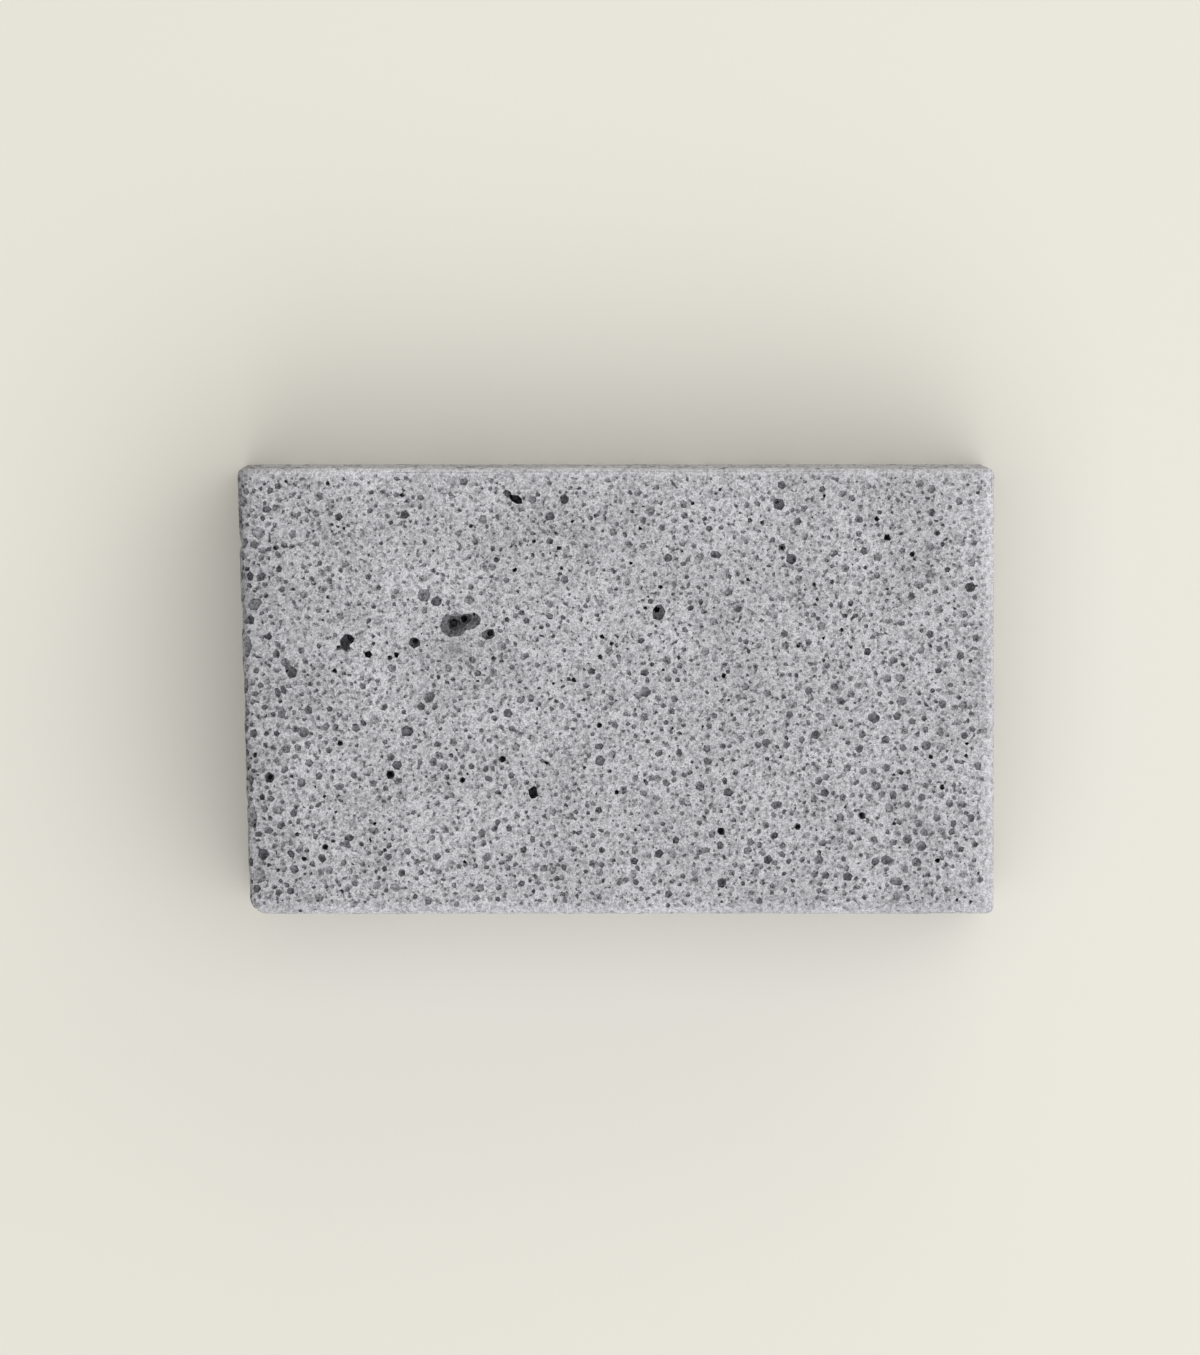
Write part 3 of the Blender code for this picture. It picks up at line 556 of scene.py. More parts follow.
# The depth of a dim, a grey and a pale cell as a share of its width, and its middle's height.
DIM_SHAPE = (0.64, -0.12)
GREY_SHAPE = (0.45, 0.10)
PALE_SHAPE = (0.24, 0.45)
BLACK_CELL_DEPTH = 1.9
BLACK_CELL_SIDES = (6, 7)
# How much longer than wide a middling cell tends to be, and how its depth varies.
MIDDLING_STRETCH = 0.16
MIDDLING_DEPTH_RANGE = (0.85, 1.15)
# A ball with few faces leaves a smaller mouth than its width, so a cell is made this many times
# wider, but not wider than this many millimetres by it.
MIDDLING_GAIN = 1.2
WIDEST_GAINED = 1.24
# The places were read against a rule that ran long and whose zero lay low. This puts them right.
RULE_UNIT = 0.9925 * MM
RULE_ZERO = Vector((0.0, 0.20 * MM, 0.0))


def stand_above(x, y):
    """The matrix of the skin's point seen from above at a place read off the rule."""
    place = Vector((x, y, 0)) * RULE_UNIT + RULE_ZERO
    point, normal, _, _ = skin.ray_cast(place + Vector((0, 0, THICKNESS * 2)), Vector((0, 0, -1)))
    if point is None:
        point, normal, _, _ = skin.find_nearest(place + Vector((0, 0, THICKNESS)))
    return standing_on(point, normal, (1, 0, 0))


def listed(rows, kind):
    """Bubbles from rows of place, length, width, depth and turn."""
    found = []
    for x, y, length, width, depth, turn in rows:
        made = open_bubble(stand_above(x, y), length * MM, width * MM, depth * MM,
                           math.radians(turn), LISTED_LIFT)
        found.append(made._replace(kind=kind))
    return found


def throat(stand, width, depth, turn, sides):
    """A narrow cup, painted nearly black as shade, that leads down out of sight."""
    made = open_cup(stand, width, width, depth, turn, sides, THROAT_FLOOR)
    return made._replace(kind=THROAT, rings=[(stand.translation, width / 2)])


def middling(rng, cells, shape, kind):
    """Cells of one darkness, each a little longer than it is wide."""
    found = []
    for x, y, size in cells:
        size = max(size, min(size * MIDDLING_GAIN, WIDEST_GAINED))
        longer = math.sqrt(1.0 + abs(rng.gauss(0, MIDDLING_STRETCH)))
        depth = size * shape[0] * rng.uniform(*MIDDLING_DEPTH_RANGE)
        made = open_bubble(stand_above(x, y), size * longer * MM, size / longer * MM, depth * MM,
                           rng.uniform(0, math.pi), shape[1])
        found.append(made._replace(kind=kind))
    return found


def middling_bubbles():
    """The middling cells of the upper face."""
    rng = random.Random(MIDDLING_SEED)
    found = middling(rng, DIM_CELLS, DIM_SHAPE, DIM)
    found += middling(rng, GREY_CELLS, GREY_SHAPE, DIM)
    found += middling(rng, PALE_CELLS, PALE_SHAPE, WORN)
    for x, y, size in BLACK_CELLS:
        turn = rng.uniform(0, math.pi)
        sides = rng.choice(BLACK_CELL_SIDES)
        depth = size * BLACK_CELL_DEPTH
        found.append(throat(stand_above(x, y), size * MM, depth * MM, turn, sides))
    return found


def listed_bubbles():
    """The large bubbles of the upper face and their throats."""
    found = listed(UPPER_BUBBLES + LEFT_END_BUBBLES, ORDINARY) + listed(GREAT_BUBBLE_CELLS, DIM)
    found += listed(BLACK_BUBBLES, THROAT)
    for index, (x, y, width, depth) in enumerate(THROATS):
        sides = CUP_SIDES[index % len(CUP_SIDES)]
        found.append(throat(stand_above(x, y), width * MM, depth * MM, float(index), sides))
    return found


bubbles = listed_bubbles() + middling_bubbles()
print("listed by hand:", len(bubbles))

# %% [markdown]
# ## The large bubbles of the other sides
#
# Nothing is known of these one by one, so they are dealt out by a seeded rule: a fixed number to each
# side, kept apart and away from the edges. They are the ones that the plain solid has too.

# %% Large bubbles of the other sides
SPREAD_SEED = 41
SPREAD_PER_SQUARE_METRE = 2400.0
SPREAD_MOUTH = (1.2 * MM, 2.1 * MM)
SPREAD_DEPTH = (0.9 * MM, 1.8 * MM)
SPREAD_ROUNDNESS = (0.75, 1.0)
SPREAD_EDGE_MARGIN = 2.4 * MM
SPREAD_GAP = 7.0 * MM
SPREAD_TRIES = 4000
UNDERSIDE_CLEAR = 6.0 * MM
# Each side: its middle, outward direction, direction along it, length and width.
SIDES = (
    ((0, 0, THICKNESS), (0, 0, 1), (1, 0, 0), LENGTH, WIDTH),
    ((0, 0, 0), (0, 0, -1), (1, 0, 0), LENGTH, WIDTH),
    ((0, -WIDTH / 2, THICKNESS / 2), (0, -1, 0), (1, 0, 0), LENGTH, THICKNESS),
    ((0, WIDTH / 2, THICKNESS / 2), (0, 1, 0), (-1, 0, 0), LENGTH, THICKNESS),
    ((LENGTH / 2, 0, THICKNESS / 2), (1, 0, 0), (0, 1, 0), WIDTH, THICKNESS),
    ((-LENGTH / 2, 0, THICKNESS / 2), (-1, 0, 0), (0, -1, 0), WIDTH, THICKNESS),
)
UNDERSIDE = 1


def spread_places(rng, index):
    """Places on one side, no two of them closer than the gap."""
    side_length, side_width = SIDES[index][3:]
    wanted = round(side_length * side_width * SPREAD_PER_SQUARE_METRE)
    places = []
    for _ in range(SPREAD_TRIES):
        if len(places) == wanted:
            break
        u = rng.uniform(-1, 1) * (side_length / 2 - SPREAD_EDGE_MARGIN)
        v = rng.uniform(-1, 1) * (side_width / 2 - SPREAD_EDGE_MARGIN)
        if index == UNDERSIDE and math.hypot(u, v) < UNDERSIDE_CLEAR:
            continue
        if all(math.hypot(u - a, v - b) >= SPREAD_GAP for a, b in places):
            places.append((u, v))
    return places


def spread_bubbles():
    """The large bubbles of the sides that are not listed one by one."""
    rng = random.Random(SPREAD_SEED)
    found = []
    for index in range(UNDERSIDE, len(SIDES)):
        plane = standing_on(*SIDES[index][:3])
        for u, v in spread_places(rng, index):
            length = rng.uniform(*SPREAD_MOUTH)
            width = length * rng.uniform(*SPREAD_ROUNDNESS)
            depth = rng.uniform(*SPREAD_DEPTH)
            stand = plane @ Matrix.Translation((u, v, 0))
            found.append(open_bubble(stand, length, width, depth, rng.uniform(0, math.pi), LISTED_LIFT))
    return found


bubbles += spread_bubbles()
print("large bubbles, middling cells and throats:", len(bubbles))

# %% [markdown]
# ## The foam
#
# Between the listed cells the rock is packed with small ones. Their sizes follow half a bell curve:
# very many near the finest, fewer and fewer larger ones. They are dealt out like darts, the largest
# first, and a dart that lands on another is thrown again, so the walls between them stay whole, as
# they do in a froth. Each dart is moved to the nearest point of the block's skin, so the bubbles turn
# with the surface where an edge is worn round.

# %% Crowd
CELL = 4.0 * MM


class Crowd:
    """Bubbles sorted by place, so that a new one is only tested against its neighbours."""

    def __init__(self):
        self.cells = {}
        self.count = 0

    def near(self, point):
        """Everything kept in the cells around a point."""
        a, b, c = (math.floor(s / CELL) for s in point)
        for i in (-1, 0, 1):
            for j in (-1, 0, 1):
                for k in (-1, 0, 1):
                    yield from self.cells.get((a + i, b + j, c + k), ())

    def keep(self, point, radius):
        """Remember one ball."""
        key = tuple(math.floor(s / CELL) for s in point)
        self.cells.setdefault(key, []).append((point, radius))

    def is_clear(self, point, radius, wall):
        """True if a ball leaves at least a wall's thickness to every other."""
        return all((point - other).length > radius + size + wall for other, size in self.near(point))


# %% Foam
FOAM_SEED = 7
FOAM_PER_MM2 = 1.08
FINEST_MOUTH = 0.34 * MM
MOUTH_SPREAD = 0.375 * MM
# The widest that is dealt out on each side. On the upper face the wider ones are listed above.
WIDEST_MOUTH = (0.72 * MM, 1.9 * MM, 1.9 * MM, 1.9 * MM, 1.9 * MM, 1.9 * MM)
# The finest bubble that is worth modelling on each side; the finish draws the finer ones there.
FINEST_MODELLED = (0.34 * MM, 0.90 * MM, 0.64 * MM, 0.64 * MM, 0.64 * MM, 0.64 * MM)
SMALL_CUP = 0.56 * MM
LARGE_CUP = 0.92 * MM
CUP_SHARE = 0.6
POINTED_FLOOR = (0.02, 0.20)
BROAD_FLOOR = (0.35, 0.65)
LONGEST_SHAPE = 1.9
SHAPE_SPREAD = 0.32
THINNEST_WALL = 0.03 * MM
TRIES = 30
# The share of shallow dishes and of deep cells, how deep each kind is for its width, and how high
# its middle stands as a share of its half depth.
SHALLOW_SHARE = 0.32
DEEP_SHARE = 0.09
SHALLOW_DEPTH = (0.20, 0.38)
MIDDLE_DEPTH = (0.42, 0.80)
DEEP_DEPTH = (0.95, 1.60)
SHALLOW_LIFT = (0.1, 0.5)
MIDDLE_LIFT = (-0.15, 0.3)
DEEP_LIFT = (-0.25, 0.1)
# How far a bubble's mouth leans out of the surface.
LEAN = 0.15
# Some bubbles have run together in pairs, and small cells break into the floors of large ones.
TWIN_SHARE = 0.20
SMALLEST_TWINNED = 0.55 * MM
TWIN_OFFSET = (0.42, 0.62)
TWIN_SIZE = (0.50, 0.85)
SMALLEST_WITH_CELLS = 1.00 * MM
INNER_COUNTS = (1, 1, 2, 3)
INNER_SIZE = (0.14, 0.28)
WIDEST_INNER = 0.42 * MM
# How far down the wall an inner cell opens, as a share of the bubble's half depth.
INNER_DOWN = (0.35, 1.0)
# The deepest that a cup is for its width, and the share of small cells whose walls are dim.
DEEPEST_CUP = 0.72
DIM_SHARE = 0.12
# The share of throats among the pin-like and among the middling bubbles, and how deep they are for
# their width.
PIN_SHARE = 0.013
MIDDLING_THROAT_SHARE = 0.015
WIDEST_THROAT = 0.80 * MM
PIN_DEPTH = (1.6, 2.6)
INNER_THROAT_SHARE = 0.35
# The left end is coarser by this much, over this length.
COARSE_GAIN = 0.30
COARSE_REACH = 12.0 * MM
# Three of the upper edges are rubbed: the far one, the right one and the near one. No cell is open on
# the outermost strip of each, and further in, as far as the worn strip goes, dust fills them.
SMOOTH_RIMS = (0.90 * MM, 0.40 * MM, 0.30 * MM)
WORN_RIMS = (1.3 * MM, 2.1 * MM, 1.5 * MM)
WORN_DEPTH = 0.55
WORN_LIFT = 0.3


def depth_and_lift(rng, size):
    """How deep a bubble is and how high its middle stands."""
    kind = rng.random()
    if kind < SHALLOW_SHARE:
        return size * rng.uniform(*SHALLOW_DEPTH), rng.uniform(*SHALLOW_LIFT)
    if kind > 1.0 - DEEP_SHARE:
        return size * rng.uniform(*DEEP_DEPTH), rng.uniform(*DEEP_LIFT)
    return size * rng.uniform(*MIDDLE_DEPTH), rng.uniform(*MIDDLE_LIFT)


def foam_bubble(rng, stand, size, shape):
    """A bubble of the kind that its size and place call for."""
    depth, lift = depth_and_lift(rng, size)
    turn = rng.uniform(0, math.pi)
    length, width = size * shape, size / shape
    sides = rng.choice(CUP_SIDES)
    worn = rim_nearness(stand.translation, WORN_RIMS)
    if worn > 0.0:
        depth = size * WORN_DEPTH * (1.0 - worn)
        made = open_bubble(stand, length, width, depth, turn, WORN_LIFT)
        return made._replace(kind=WORN)
    share = PIN_SHARE if size < SMALL_CUP else MIDDLING_THROAT_SHARE
    if size < WIDEST_THROAT and rng.random() < share:
        return throat(stand, size, size * rng.uniform(*PIN_DEPTH), turn, sides)
    cup_depth = min(depth, size * DEEPEST_CUP)
    if size < SMALL_CUP:
        made = open_cup(stand, length, width, cup_depth, turn, sides, rng.uniform(*POINTED_FLOOR))
    elif size < LARGE_CUP and rng.random() < CUP_SHARE:
        made = open_cup(stand, length, width, cup_depth, turn, sides, rng.uniform(*BROAD_FLOOR))
    else:
        made = open_bubble(stand, length, width, depth, turn, lift)
    return made._replace(kind=DIM) if rng.random() < DIM_SHARE else made


def twin_of(rng, point, normal, along, size):
    """A smaller bubble that has run into its neighbour."""
    stand = standing_on(point, normal, along)
    angle = rng.uniform(0, 2 * math.pi)
    away = size * rng.uniform(*TWIN_OFFSET)
    stand = stand @ Matrix.Translation((math.cos(angle) * away, math.sin(angle) * away, 0))
    return foam_bubble(rng, stand, size * rng.uniform(*TWIN_SIZE), 1.0)


def inner_cells(rng, bubble, size):
    """Small cells that break through the floor of a large bubble."""
    found = []
    for _ in range(rng.choice(INNER_COUNTS)):
        angle = rng.uniform(0, 2 * math.pi)
        down = rng.uniform(*INNER_DOWN)
        flat = math.sqrt(1.0 - down * down)
        middle = bubble.place @ Vector((math.cos(angle) * flat, math.sin(angle) * flat, -down))
        radius = min(size * rng.uniform(*INNER_SIZE), WIDEST_INNER)
        place = Matrix.LocRotScale(middle, Matrix.Rotation(angle, 3, 'X'), Vector((radius,) * 3))
        kind = THROAT if rng.random() < INNER_THROAT_SHARE else ORDINARY
        found.append(Bubble(place, middle, radius * (1.0 + UNEVEN), (), ball(BALL_OF_20), kind))
    return found


def coarseness(point):
    """How much larger the bubbles are at a place."""
    return 1.0 + COARSE_GAIN * max(0.0, 1.0 - (point.x + LENGTH / 2) / COARSE_REACH)


def rim_nearness(point, widths):
    """1 on the far, right and near upper edges, 0 from each one's width inwards."""
    insets = (WIDTH / 2 - point.y, LENGTH / 2 - point.x, WIDTH / 2 + point.y)
    most = 0.0
    for inset, width in zip(insets, widths):
        if point.z > THICKNESS - width:
            most = max(most, 1.0 - inset / width)
    return most


def foam(crowd, seed):
    """Deal small bubbles over all six sides."""
    rng = random.Random(seed)
    darts = []
    for side, finest, widest in zip(SIDES, FINEST_MODELLED, WIDEST_MOUTH):
        count = round(side[3] * side[4] / MM ** 2 * FOAM_PER_MM2)
        sizes = [FINEST_MOUTH + abs(rng.gauss(0, MOUTH_SPREAD)) for _ in range(count)]
        darts += [(size, side) for size in sizes if finest <= size <= widest]
    darts.sort(key=lambda dart: -dart[0])
    found = []
    for size, (middle, outward, along, side_length, side_width) in darts:
        plane = standing_on(middle, outward, along)
        for _ in range(TRIES):
            u = rng.uniform(-0.5, 0.5) * side_length
            v = rng.uniform(-0.5, 0.5) * side_width
            point, normal, _, _ = skin.find_nearest(plane @ Vector((u, v, 0)))
            local = size * coarseness(point)
            smooth = rim_nearness(point, SMOOTH_RIMS) > 0.0
            if not smooth and crowd.is_clear(point, local / 2, THINNEST_WALL):
                break
        else:
            continue
        shape = math.sqrt(min(1.0 + abs(rng.gauss(0, SHAPE_SPREAD)), LONGEST_SHAPE))
        lean = Vector((rng.gauss(0, LEAN), rng.gauss(0, LEAN), rng.gauss(0, LEAN)))
        size = local
        made = foam_bubble(rng, standing_on(point, normal + lean, along), size, shape)
        crowd.keep(point, size / 2)
        found.append(made)
        if size > SMALLEST_TWINNED and rng.random() < TWIN_SHARE:
            found.append(twin_of(rng, point, normal, along, size))
        if size > SMALLEST_WITH_CELLS:
            found += inner_cells(rng, made, size)
    return found


crowd = Crowd()
for item in bubbles:
    for ring_middle, ring_radius in item.rings:
        crowd.keep(ring_middle, ring_radius)
bubbles += foam(crowd, FOAM_SEED)
print("bubbles in all:", len(bubbles))

# %% [markdown]
# ## Opening the bubbles
#
# A boolean cuts the balls and cups out of the block, and so a bubble on an edge notches it and two
# that meet leave a sharp ridge, with no work by hand. They are cut in batches in which none touches
# another, because the fast solver needs clean cutters. Each face that a cut leaves carries a mark
# that says which kind of bubble made it, for the finish.

# %% Batches
# The most bubbles that one batch holds, and how many of them are drawn at a time.
BATCH = 2400
LOT = 100


def sort_into_batches(items):
    """Batches of bubbles in which none touches another."""
    batches = []
    for item in items:
        for crowd_of_batch, members in batches:
            if len(members) < BATCH and crowd_of_batch.is_clear(item.middle, item.reach, 0.0):
                break
        else:
            crowd_of_batch, members = Crowd(), []
            batches.append((crowd_of_batch, members))
        crowd_of_batch.keep(item.middle, item.reach)
        members.append(item)
    return [members for _, members in batches]


def object_from(bm, name):
    """Turn a finished bmesh into an object in the scene."""
    mesh = bpy.data.meshes.new(name)
    bm.to_mesh(mesh)
    bm.free()
    made = bpy.data.objects.new(name, mesh)
    bpy.context.scene.collection.objects.link(made)
    return made


def batch_cutter(name, members):
    """One object that holds a batch of separate shapes, made in lots because small meshes grow faster."""
    whole = bmesh.new()
    for start in range(0, len(members), LOT):
        bm = bmesh.new()
        for item in members[start:start + LOT]:
            before = len(bm.faces)
            item.make(bm, item.place)
            bm.faces.ensure_lookup_table()
            for face in bm.faces[before:]:
                face.material_index = item.kind
        lot = bpy.data.meshes.new("lot")
        bm.to_mesh(lot)
        bm.free()
        whole.from_mesh(lot)
        bpy.data.meshes.remove(lot)
    return object_from(whole, name)


def cut_out(stone, cutters, marks):
    """Cut every batch out of the stone, and mark what each leaves by its kind."""
    for cutter in cutters:
        for mark in marks:
            cutter.data.materials.append(mark)
        cut = stone.modifiers.new(cutter.name, 'BOOLEAN')
        cut.operation = 'DIFFERENCE'
        cut.solver = 'MANIFOLD'
        cut.material_mode = 'TRANSFER'
        cut.object = cutter
    view = bpy.context.evaluated_depsgraph_get()
    opened = bpy.data.meshes.new_from_object(stone.evaluated_get(view))
    stone.modifiers.clear()
    for cutter in cutters:
        bpy.data.objects.remove(cutter)
    stone.data = opened


KIND_NAMES = ("cell_mark", "throat_mark", "dim_mark", "worn_mark")
land_mark = bpy.data.materials.new("sawn_face_mark")
kind_marks = [bpy.data.materials.new(name) for name in KIND_NAMES]
stone = object_from(block, "foamed_stone")
stone.data.materials.append(land_mark)
batches = sort_into_batches(bubbles)
cutters = [batch_cutter(f"balls_{n}", members) for n, members in enumerate(batches)]
print("batches:", len(cutters))
cut_out(stone, cutters, kind_marks)


def triangle_count(mesh):
    """How many triangles a mesh comes to."""
    return sum(len(face.vertices) - 2 for face in mesh.polygons)


print("opened stone:", triangle_count(stone.data), "triangles")

# %% [markdown]
# ## Thinning the mesh
#
# The cuts leave many slivers that show nothing. The Decimate modifier takes away the edges that
# matter least, until the stone is within the count that one piece may have.

# %% Thin
MOST_TRIANGLES = 196000


def apply_modifiers(piece):
    """Replace the piece's mesh by what its modifiers make of it."""
    view = bpy.context.evaluated_depsgraph_get()
    made = bpy.data.meshes.new_from_object(piece.evaluated_get(view))
    piece.modifiers.clear()
    piece.data = made


def thin(piece, most):
    """Bring a piece down to a number of triangles."""
    count = triangle_count(piece.data)
    if count > most:
        fewer = piece.modifiers.new("thin", 'DECIMATE')
        fewer.decimate_type = 'COLLAPSE'
        fewer.ratio = most / count
        fewer.use_collapse_triangulate = True
        apply_modifiers(piece)


thin(stone, MOST_TRIANGLES)
print("thinned stone:", triangle_count(stone.data), "triangles")

# %% [markdown]
# ## Crumbs
#
# Where many bubbles meet, the cuts free a crumb of stone from the block, or close off a hollow that
# nobody can see. Real crumbs fall out, so everything that isn't joined to the main body is dropped.

# %% Crumbs
def bodies_of(bm):
    """The points of each joined body, the largest body last."""
    unseen = set(bm.verts)
    bodies = []
    while unseen:
        front = [unseen.pop()]
        body = list(front)
        while front:
            here = front.pop()
            for edge in here.link_edges:
                other = edge.other_vert(here)
                if other in unseen:
                    unseen.remove(other)
                    front.append(other)
                    body.append(other)
        bodies.append(body)
    return sorted(bodies, key=len)


def drop_crumbs(piece):
    """Keep a piece's largest body only."""
    bm = bmesh.new()
    bm.from_mesh(piece.data)
    bodies = bodies_of(bm)
    crumbs = [v for body in bodies[:-1] for v in body]
    bmesh.ops.delete(bm, geom=crumbs, context='VERTS')
    bm.to_mesh(piece.data)
    bm.free()
    print("crumbs dropped:", len(bodies) - 1, "with", len(crumbs), "points")


drop_crumbs(stone)
print("whole stone:", triangle_count(stone.data), "triangles")

# %% [markdown]
# ## Wear
#
# Rubbing leaves the sawn faces slightly uneven, nibbles the rims of the cells, chips the edges and
# notches the coarse left end. Every point is moved a little by smooth noise, always by less than a
# cell's width so nothing folds over, and is kept inside the sawn block's box. At the same time each
# point's depth under the skin is written down, because the finish will need it.

# %% Wear
RIM_NIBBLE = 0.080 * MM
RIM_NIBBLE_SIZE = 0.50 * MM
FACE_SWELL = 0.10 * MM
FACE_SWELL_SIZE = 7.0 * MM
EDGE_CHIP = 0.45 * MM
EDGE_CHIP_SIZE = 2.2 * MM
EDGE_REACH = 2.2 * MM
# The left end is coarse, and broken by upright notches up to this deep and about this far apart. They
# change this much more slowly with height than along the end.
NOTCH = 0.75 * MM
NOTCH_SIZE = 1.7 * MM
NOTCH_LEAN = 0.15
# How fast the rubbed look, with its painted highlight, comes in over a smooth edge.
RUBBED_GAIN = 1.4


def edge_nearness(point):
    """1 on an edge of the block, 0 further in than the wear reaches."""
    gaps = sorted((LENGTH / 2 - abs(point.x), WIDTH / 2 - abs(point.y),
                   min(point.z, THICKNESS - point.z)))
    return max(0.0, 1.0 - max(gaps[0], gaps[1]) / EDGE_REACH)


def end_notch(point):
    """How deep the left end is notched at a point."""
    near = max(0.0, 1.0 - (point.x + LENGTH / 2) / EDGE_REACH)
    place = Vector((0.0, point.y, point.z * NOTCH_LEAN)) / NOTCH_SIZE
    return max(0.0, noise.noise(place)) * near * NOTCH


def kept_inside(point):
    """The point, held in the sawn block's box."""
    return Vector((min(max(point.x, low_corner[0]), high_corner[0]),
                   min(max(point.y, low_corner[1]), high_corner[1]),
                   min(max(point.z, low_corner[2]), high_corner[2])))


def weather(piece):
    """Wear a piece by smooth noise, and note how deep each point lies."""
    bm = bmesh.new()
    bm.from_mesh(piece.data)
    deep = bm.verts.layers.float.new("depth_mm")
    smooth = bm.verts.layers.float.new("rubbed_and_highlit")
    for v in bm.verts:
        point = v.co.copy()
        _, normal, _, gap = skin.find_nearest(point)
        # The depth is kept so that the finish can paint deeper points darker, as painted shade.
        v[deep] = gap / MM
        # A rubbed point's fine pores are filled with dust, and it gets a painted highlight.
        v[smooth] = min(1.0, RUBBED_GAIN * rim_nearness(point, WORN_RIMS))
        nibble = noise.noise_vector(point / RIM_NIBBLE_SIZE) * RIM_NIBBLE
        swell = (noise.noise(point / FACE_SWELL_SIZE) - 1.0) * 0.5 * FACE_SWELL
        chip = max(0.0, noise.noise(point / EDGE_CHIP_SIZE)) * edge_nearness(point) * EDGE_CHIP
        v.co = kept_inside(point + nibble + normal * (swell - chip - end_notch(point)))
    bm.to_mesh(piece.data)
    bm.free()


weather(stone)
print("worn stone:", [round(s / MM, 2) for s in stone.dimensions])
print("faces that had to be put right:", stone.data.validate(clean_customdata=False))

# %% [markdown]
# ## The map for the finish
#
# The stone carries its own flat map, for programs that show it with pictures instead of noise. Each
# face belongs to the side of the block that it was opened from, and the six sides lie beside each
# other on the map. Sorting by side, and not by the direction that a face looks in, keeps each cell in
# one piece.

# %% Map
MAP_NAME = "OFBake"
MAP_MARGIN = 1.5 * MM
TURN_RIGHT = True


def side_layout():
    """Where each side's middle lies on the map, whether it lies turned, and the map's size."""
    rows = []
    height = MAP_MARGIN
    for index in (0, 1, 2, 3):
        side_width = SIDES[index][4]
        rows.append((MAP_MARGIN + LENGTH / 2, height + side_width / 2, False))
        height += side_width + MAP_MARGIN
    end_x = MAP_MARGIN * 2 + LENGTH + THICKNESS / 2
    rows.append((end_x, rows[0][1], TURN_RIGHT))
    rows.append((end_x, rows[1][1], TURN_RIGHT))
    return rows, (end_x + THICKNESS / 2 + MAP_MARGIN, height)


def lay_out_map(piece):
    """Give every face its place on the map."""
    places, (map_width, map_height) = side_layout()
    planes = [standing_on(side[0], side[1], side[2]).inverted() for side in SIDES]
    bm = bmesh.new()
    bm.from_mesh(piece.data)
    layer = bm.loops.layers.uv.new(MAP_NAME)
    for face in bm.faces:
        middle = face.calc_center_median()
        depths = [-(plane @ middle).z for plane in planes]
        side = depths.index(min(depths))
        at_x, at_y, turned = places[side]
        for loop in face.loops:
            flat = planes[side] @ loop.vert.co
            u, v = (flat.y, flat.x) if turned else (flat.x, flat.y)
            loop[layer].uv = ((at_x + u) / map_width, (at_y + v) / map_height)
    bm.to_mesh(piece.data)
    bm.free()


lay_out_map(stone)

# %% [markdown]
# ## Soft cells, sharp rims
#
# A cell's wall is round, and its rim is a knife edge. Smooth shading with a sharp angle shows both
# with few faces.

# %% Shading
RIM_ANGLE = math.radians(48)


def shade_foam(piece):
    """Smooth inside the cells, sharp at their rims."""
    piece.data.shade_smooth()
    piece.data.set_sharp_from_angle(angle=RIM_ANGLE)


shade_foam(stone)

# %% [markdown]
# ## Finish
#
# Pumice is a glassy grey rock, and a sawn face is covered in its own pale dust. The land between the
# cells is left lightest, and the walls inside them are painted darker as painted shade, the deeper the
# darker, so a deep cell is darkest. The walls differ too: an ordinary and a dim cell's are painted
# darker, a worn, shallow one's, half full of dust, only a little, and a throat's nearly black, as
# painted shade of the hollow below. That tone is kept on the faces as an attribute. Pores too fine to
# model are painted as dark spots of shade by two layers of Voronoi cells, each with a radius of its
# own, and a wider layer dimples the land, painted darker in each dimple and lighter on the ridges, as
# painted shade and highlight. The left end, turned from the light, is painted darker, and the rubbed
# upper edges lighter, as a painted highlight. All of it is read from the object's own coordinates, so
# nothing slides.

# %% Node helpers
def add_node(tree, kind, **settings):
    """Add a node and set its own settings."""
    made = tree.nodes.new(kind)
    for name, value in settings.items():
        setattr(made, name, value)
    return made


def maths(tree, operation, first, second=None, third=None, clamp=False):
    """A Math node fed by sockets or numbers."""
    made = add_node(tree, 'ShaderNodeMath', operation=operation, use_clamp=clamp)
    for socket, value in zip(made.inputs, (first, second, third)):
        if value is None:
            continue
        if isinstance(value, (int, float)):
            socket.default_value = value
        else:
            tree.links.new(value, socket)
    return made.outputs[0]


def remap(tree, value, from_low, from_high, to_low, to_high, smooth=True):
    """A Map Range node whose limits may be sockets or numbers."""
    made = add_node(tree, 'ShaderNodeMapRange', interpolation_type='SMOOTHSTEP' if smooth else 'LINEAR')
    for name, given in (("Value", value), ("From Min", from_low), ("From Max", from_high),
                        ("To Min", to_low), ("To Max", to_high)):
        if isinstance(given, (int, float)):
            made.inputs[name].default_value = given
        else:
            tree.links.new(given, made.inputs[name])
    return made.outputs["Result"]


# %% Stone finish
LAND_COLOUR = (0.549, 0.559, 0.611, 1.0)
# How light the sawn face is left, and how dark an ordinary cell's wall, a throat's, a dim and a worn
# one's are painted, as painted shade.
WALL_SHADE_TONES = (1.0, 0.79, 0.29, 0.76, 0.90)
# Painted shade in the cells: the tone falls evenly from the skin's to the deepest one between these
# two depths.
SKIN_MM = 0.05
DEEPEST_MM = 2.4
DEEPEST_SHADE_TONE = 0.50
# Two layers of fine pores, painted as dark spots of shade: the spacing of their cells in millimetres,
# the least and greatest radius as a share of that, and how much they darken.
PORE_LAYERS = (
    (0.32, 0.30, 0.78, 0.40),
    (0.60, 0.25, 0.72, 0.38),
)
# A fine pore is even up to this share of its radius, and none is fainter than this.
PORE_EDGE = 0.62
PORE_FAINTEST = 0.25
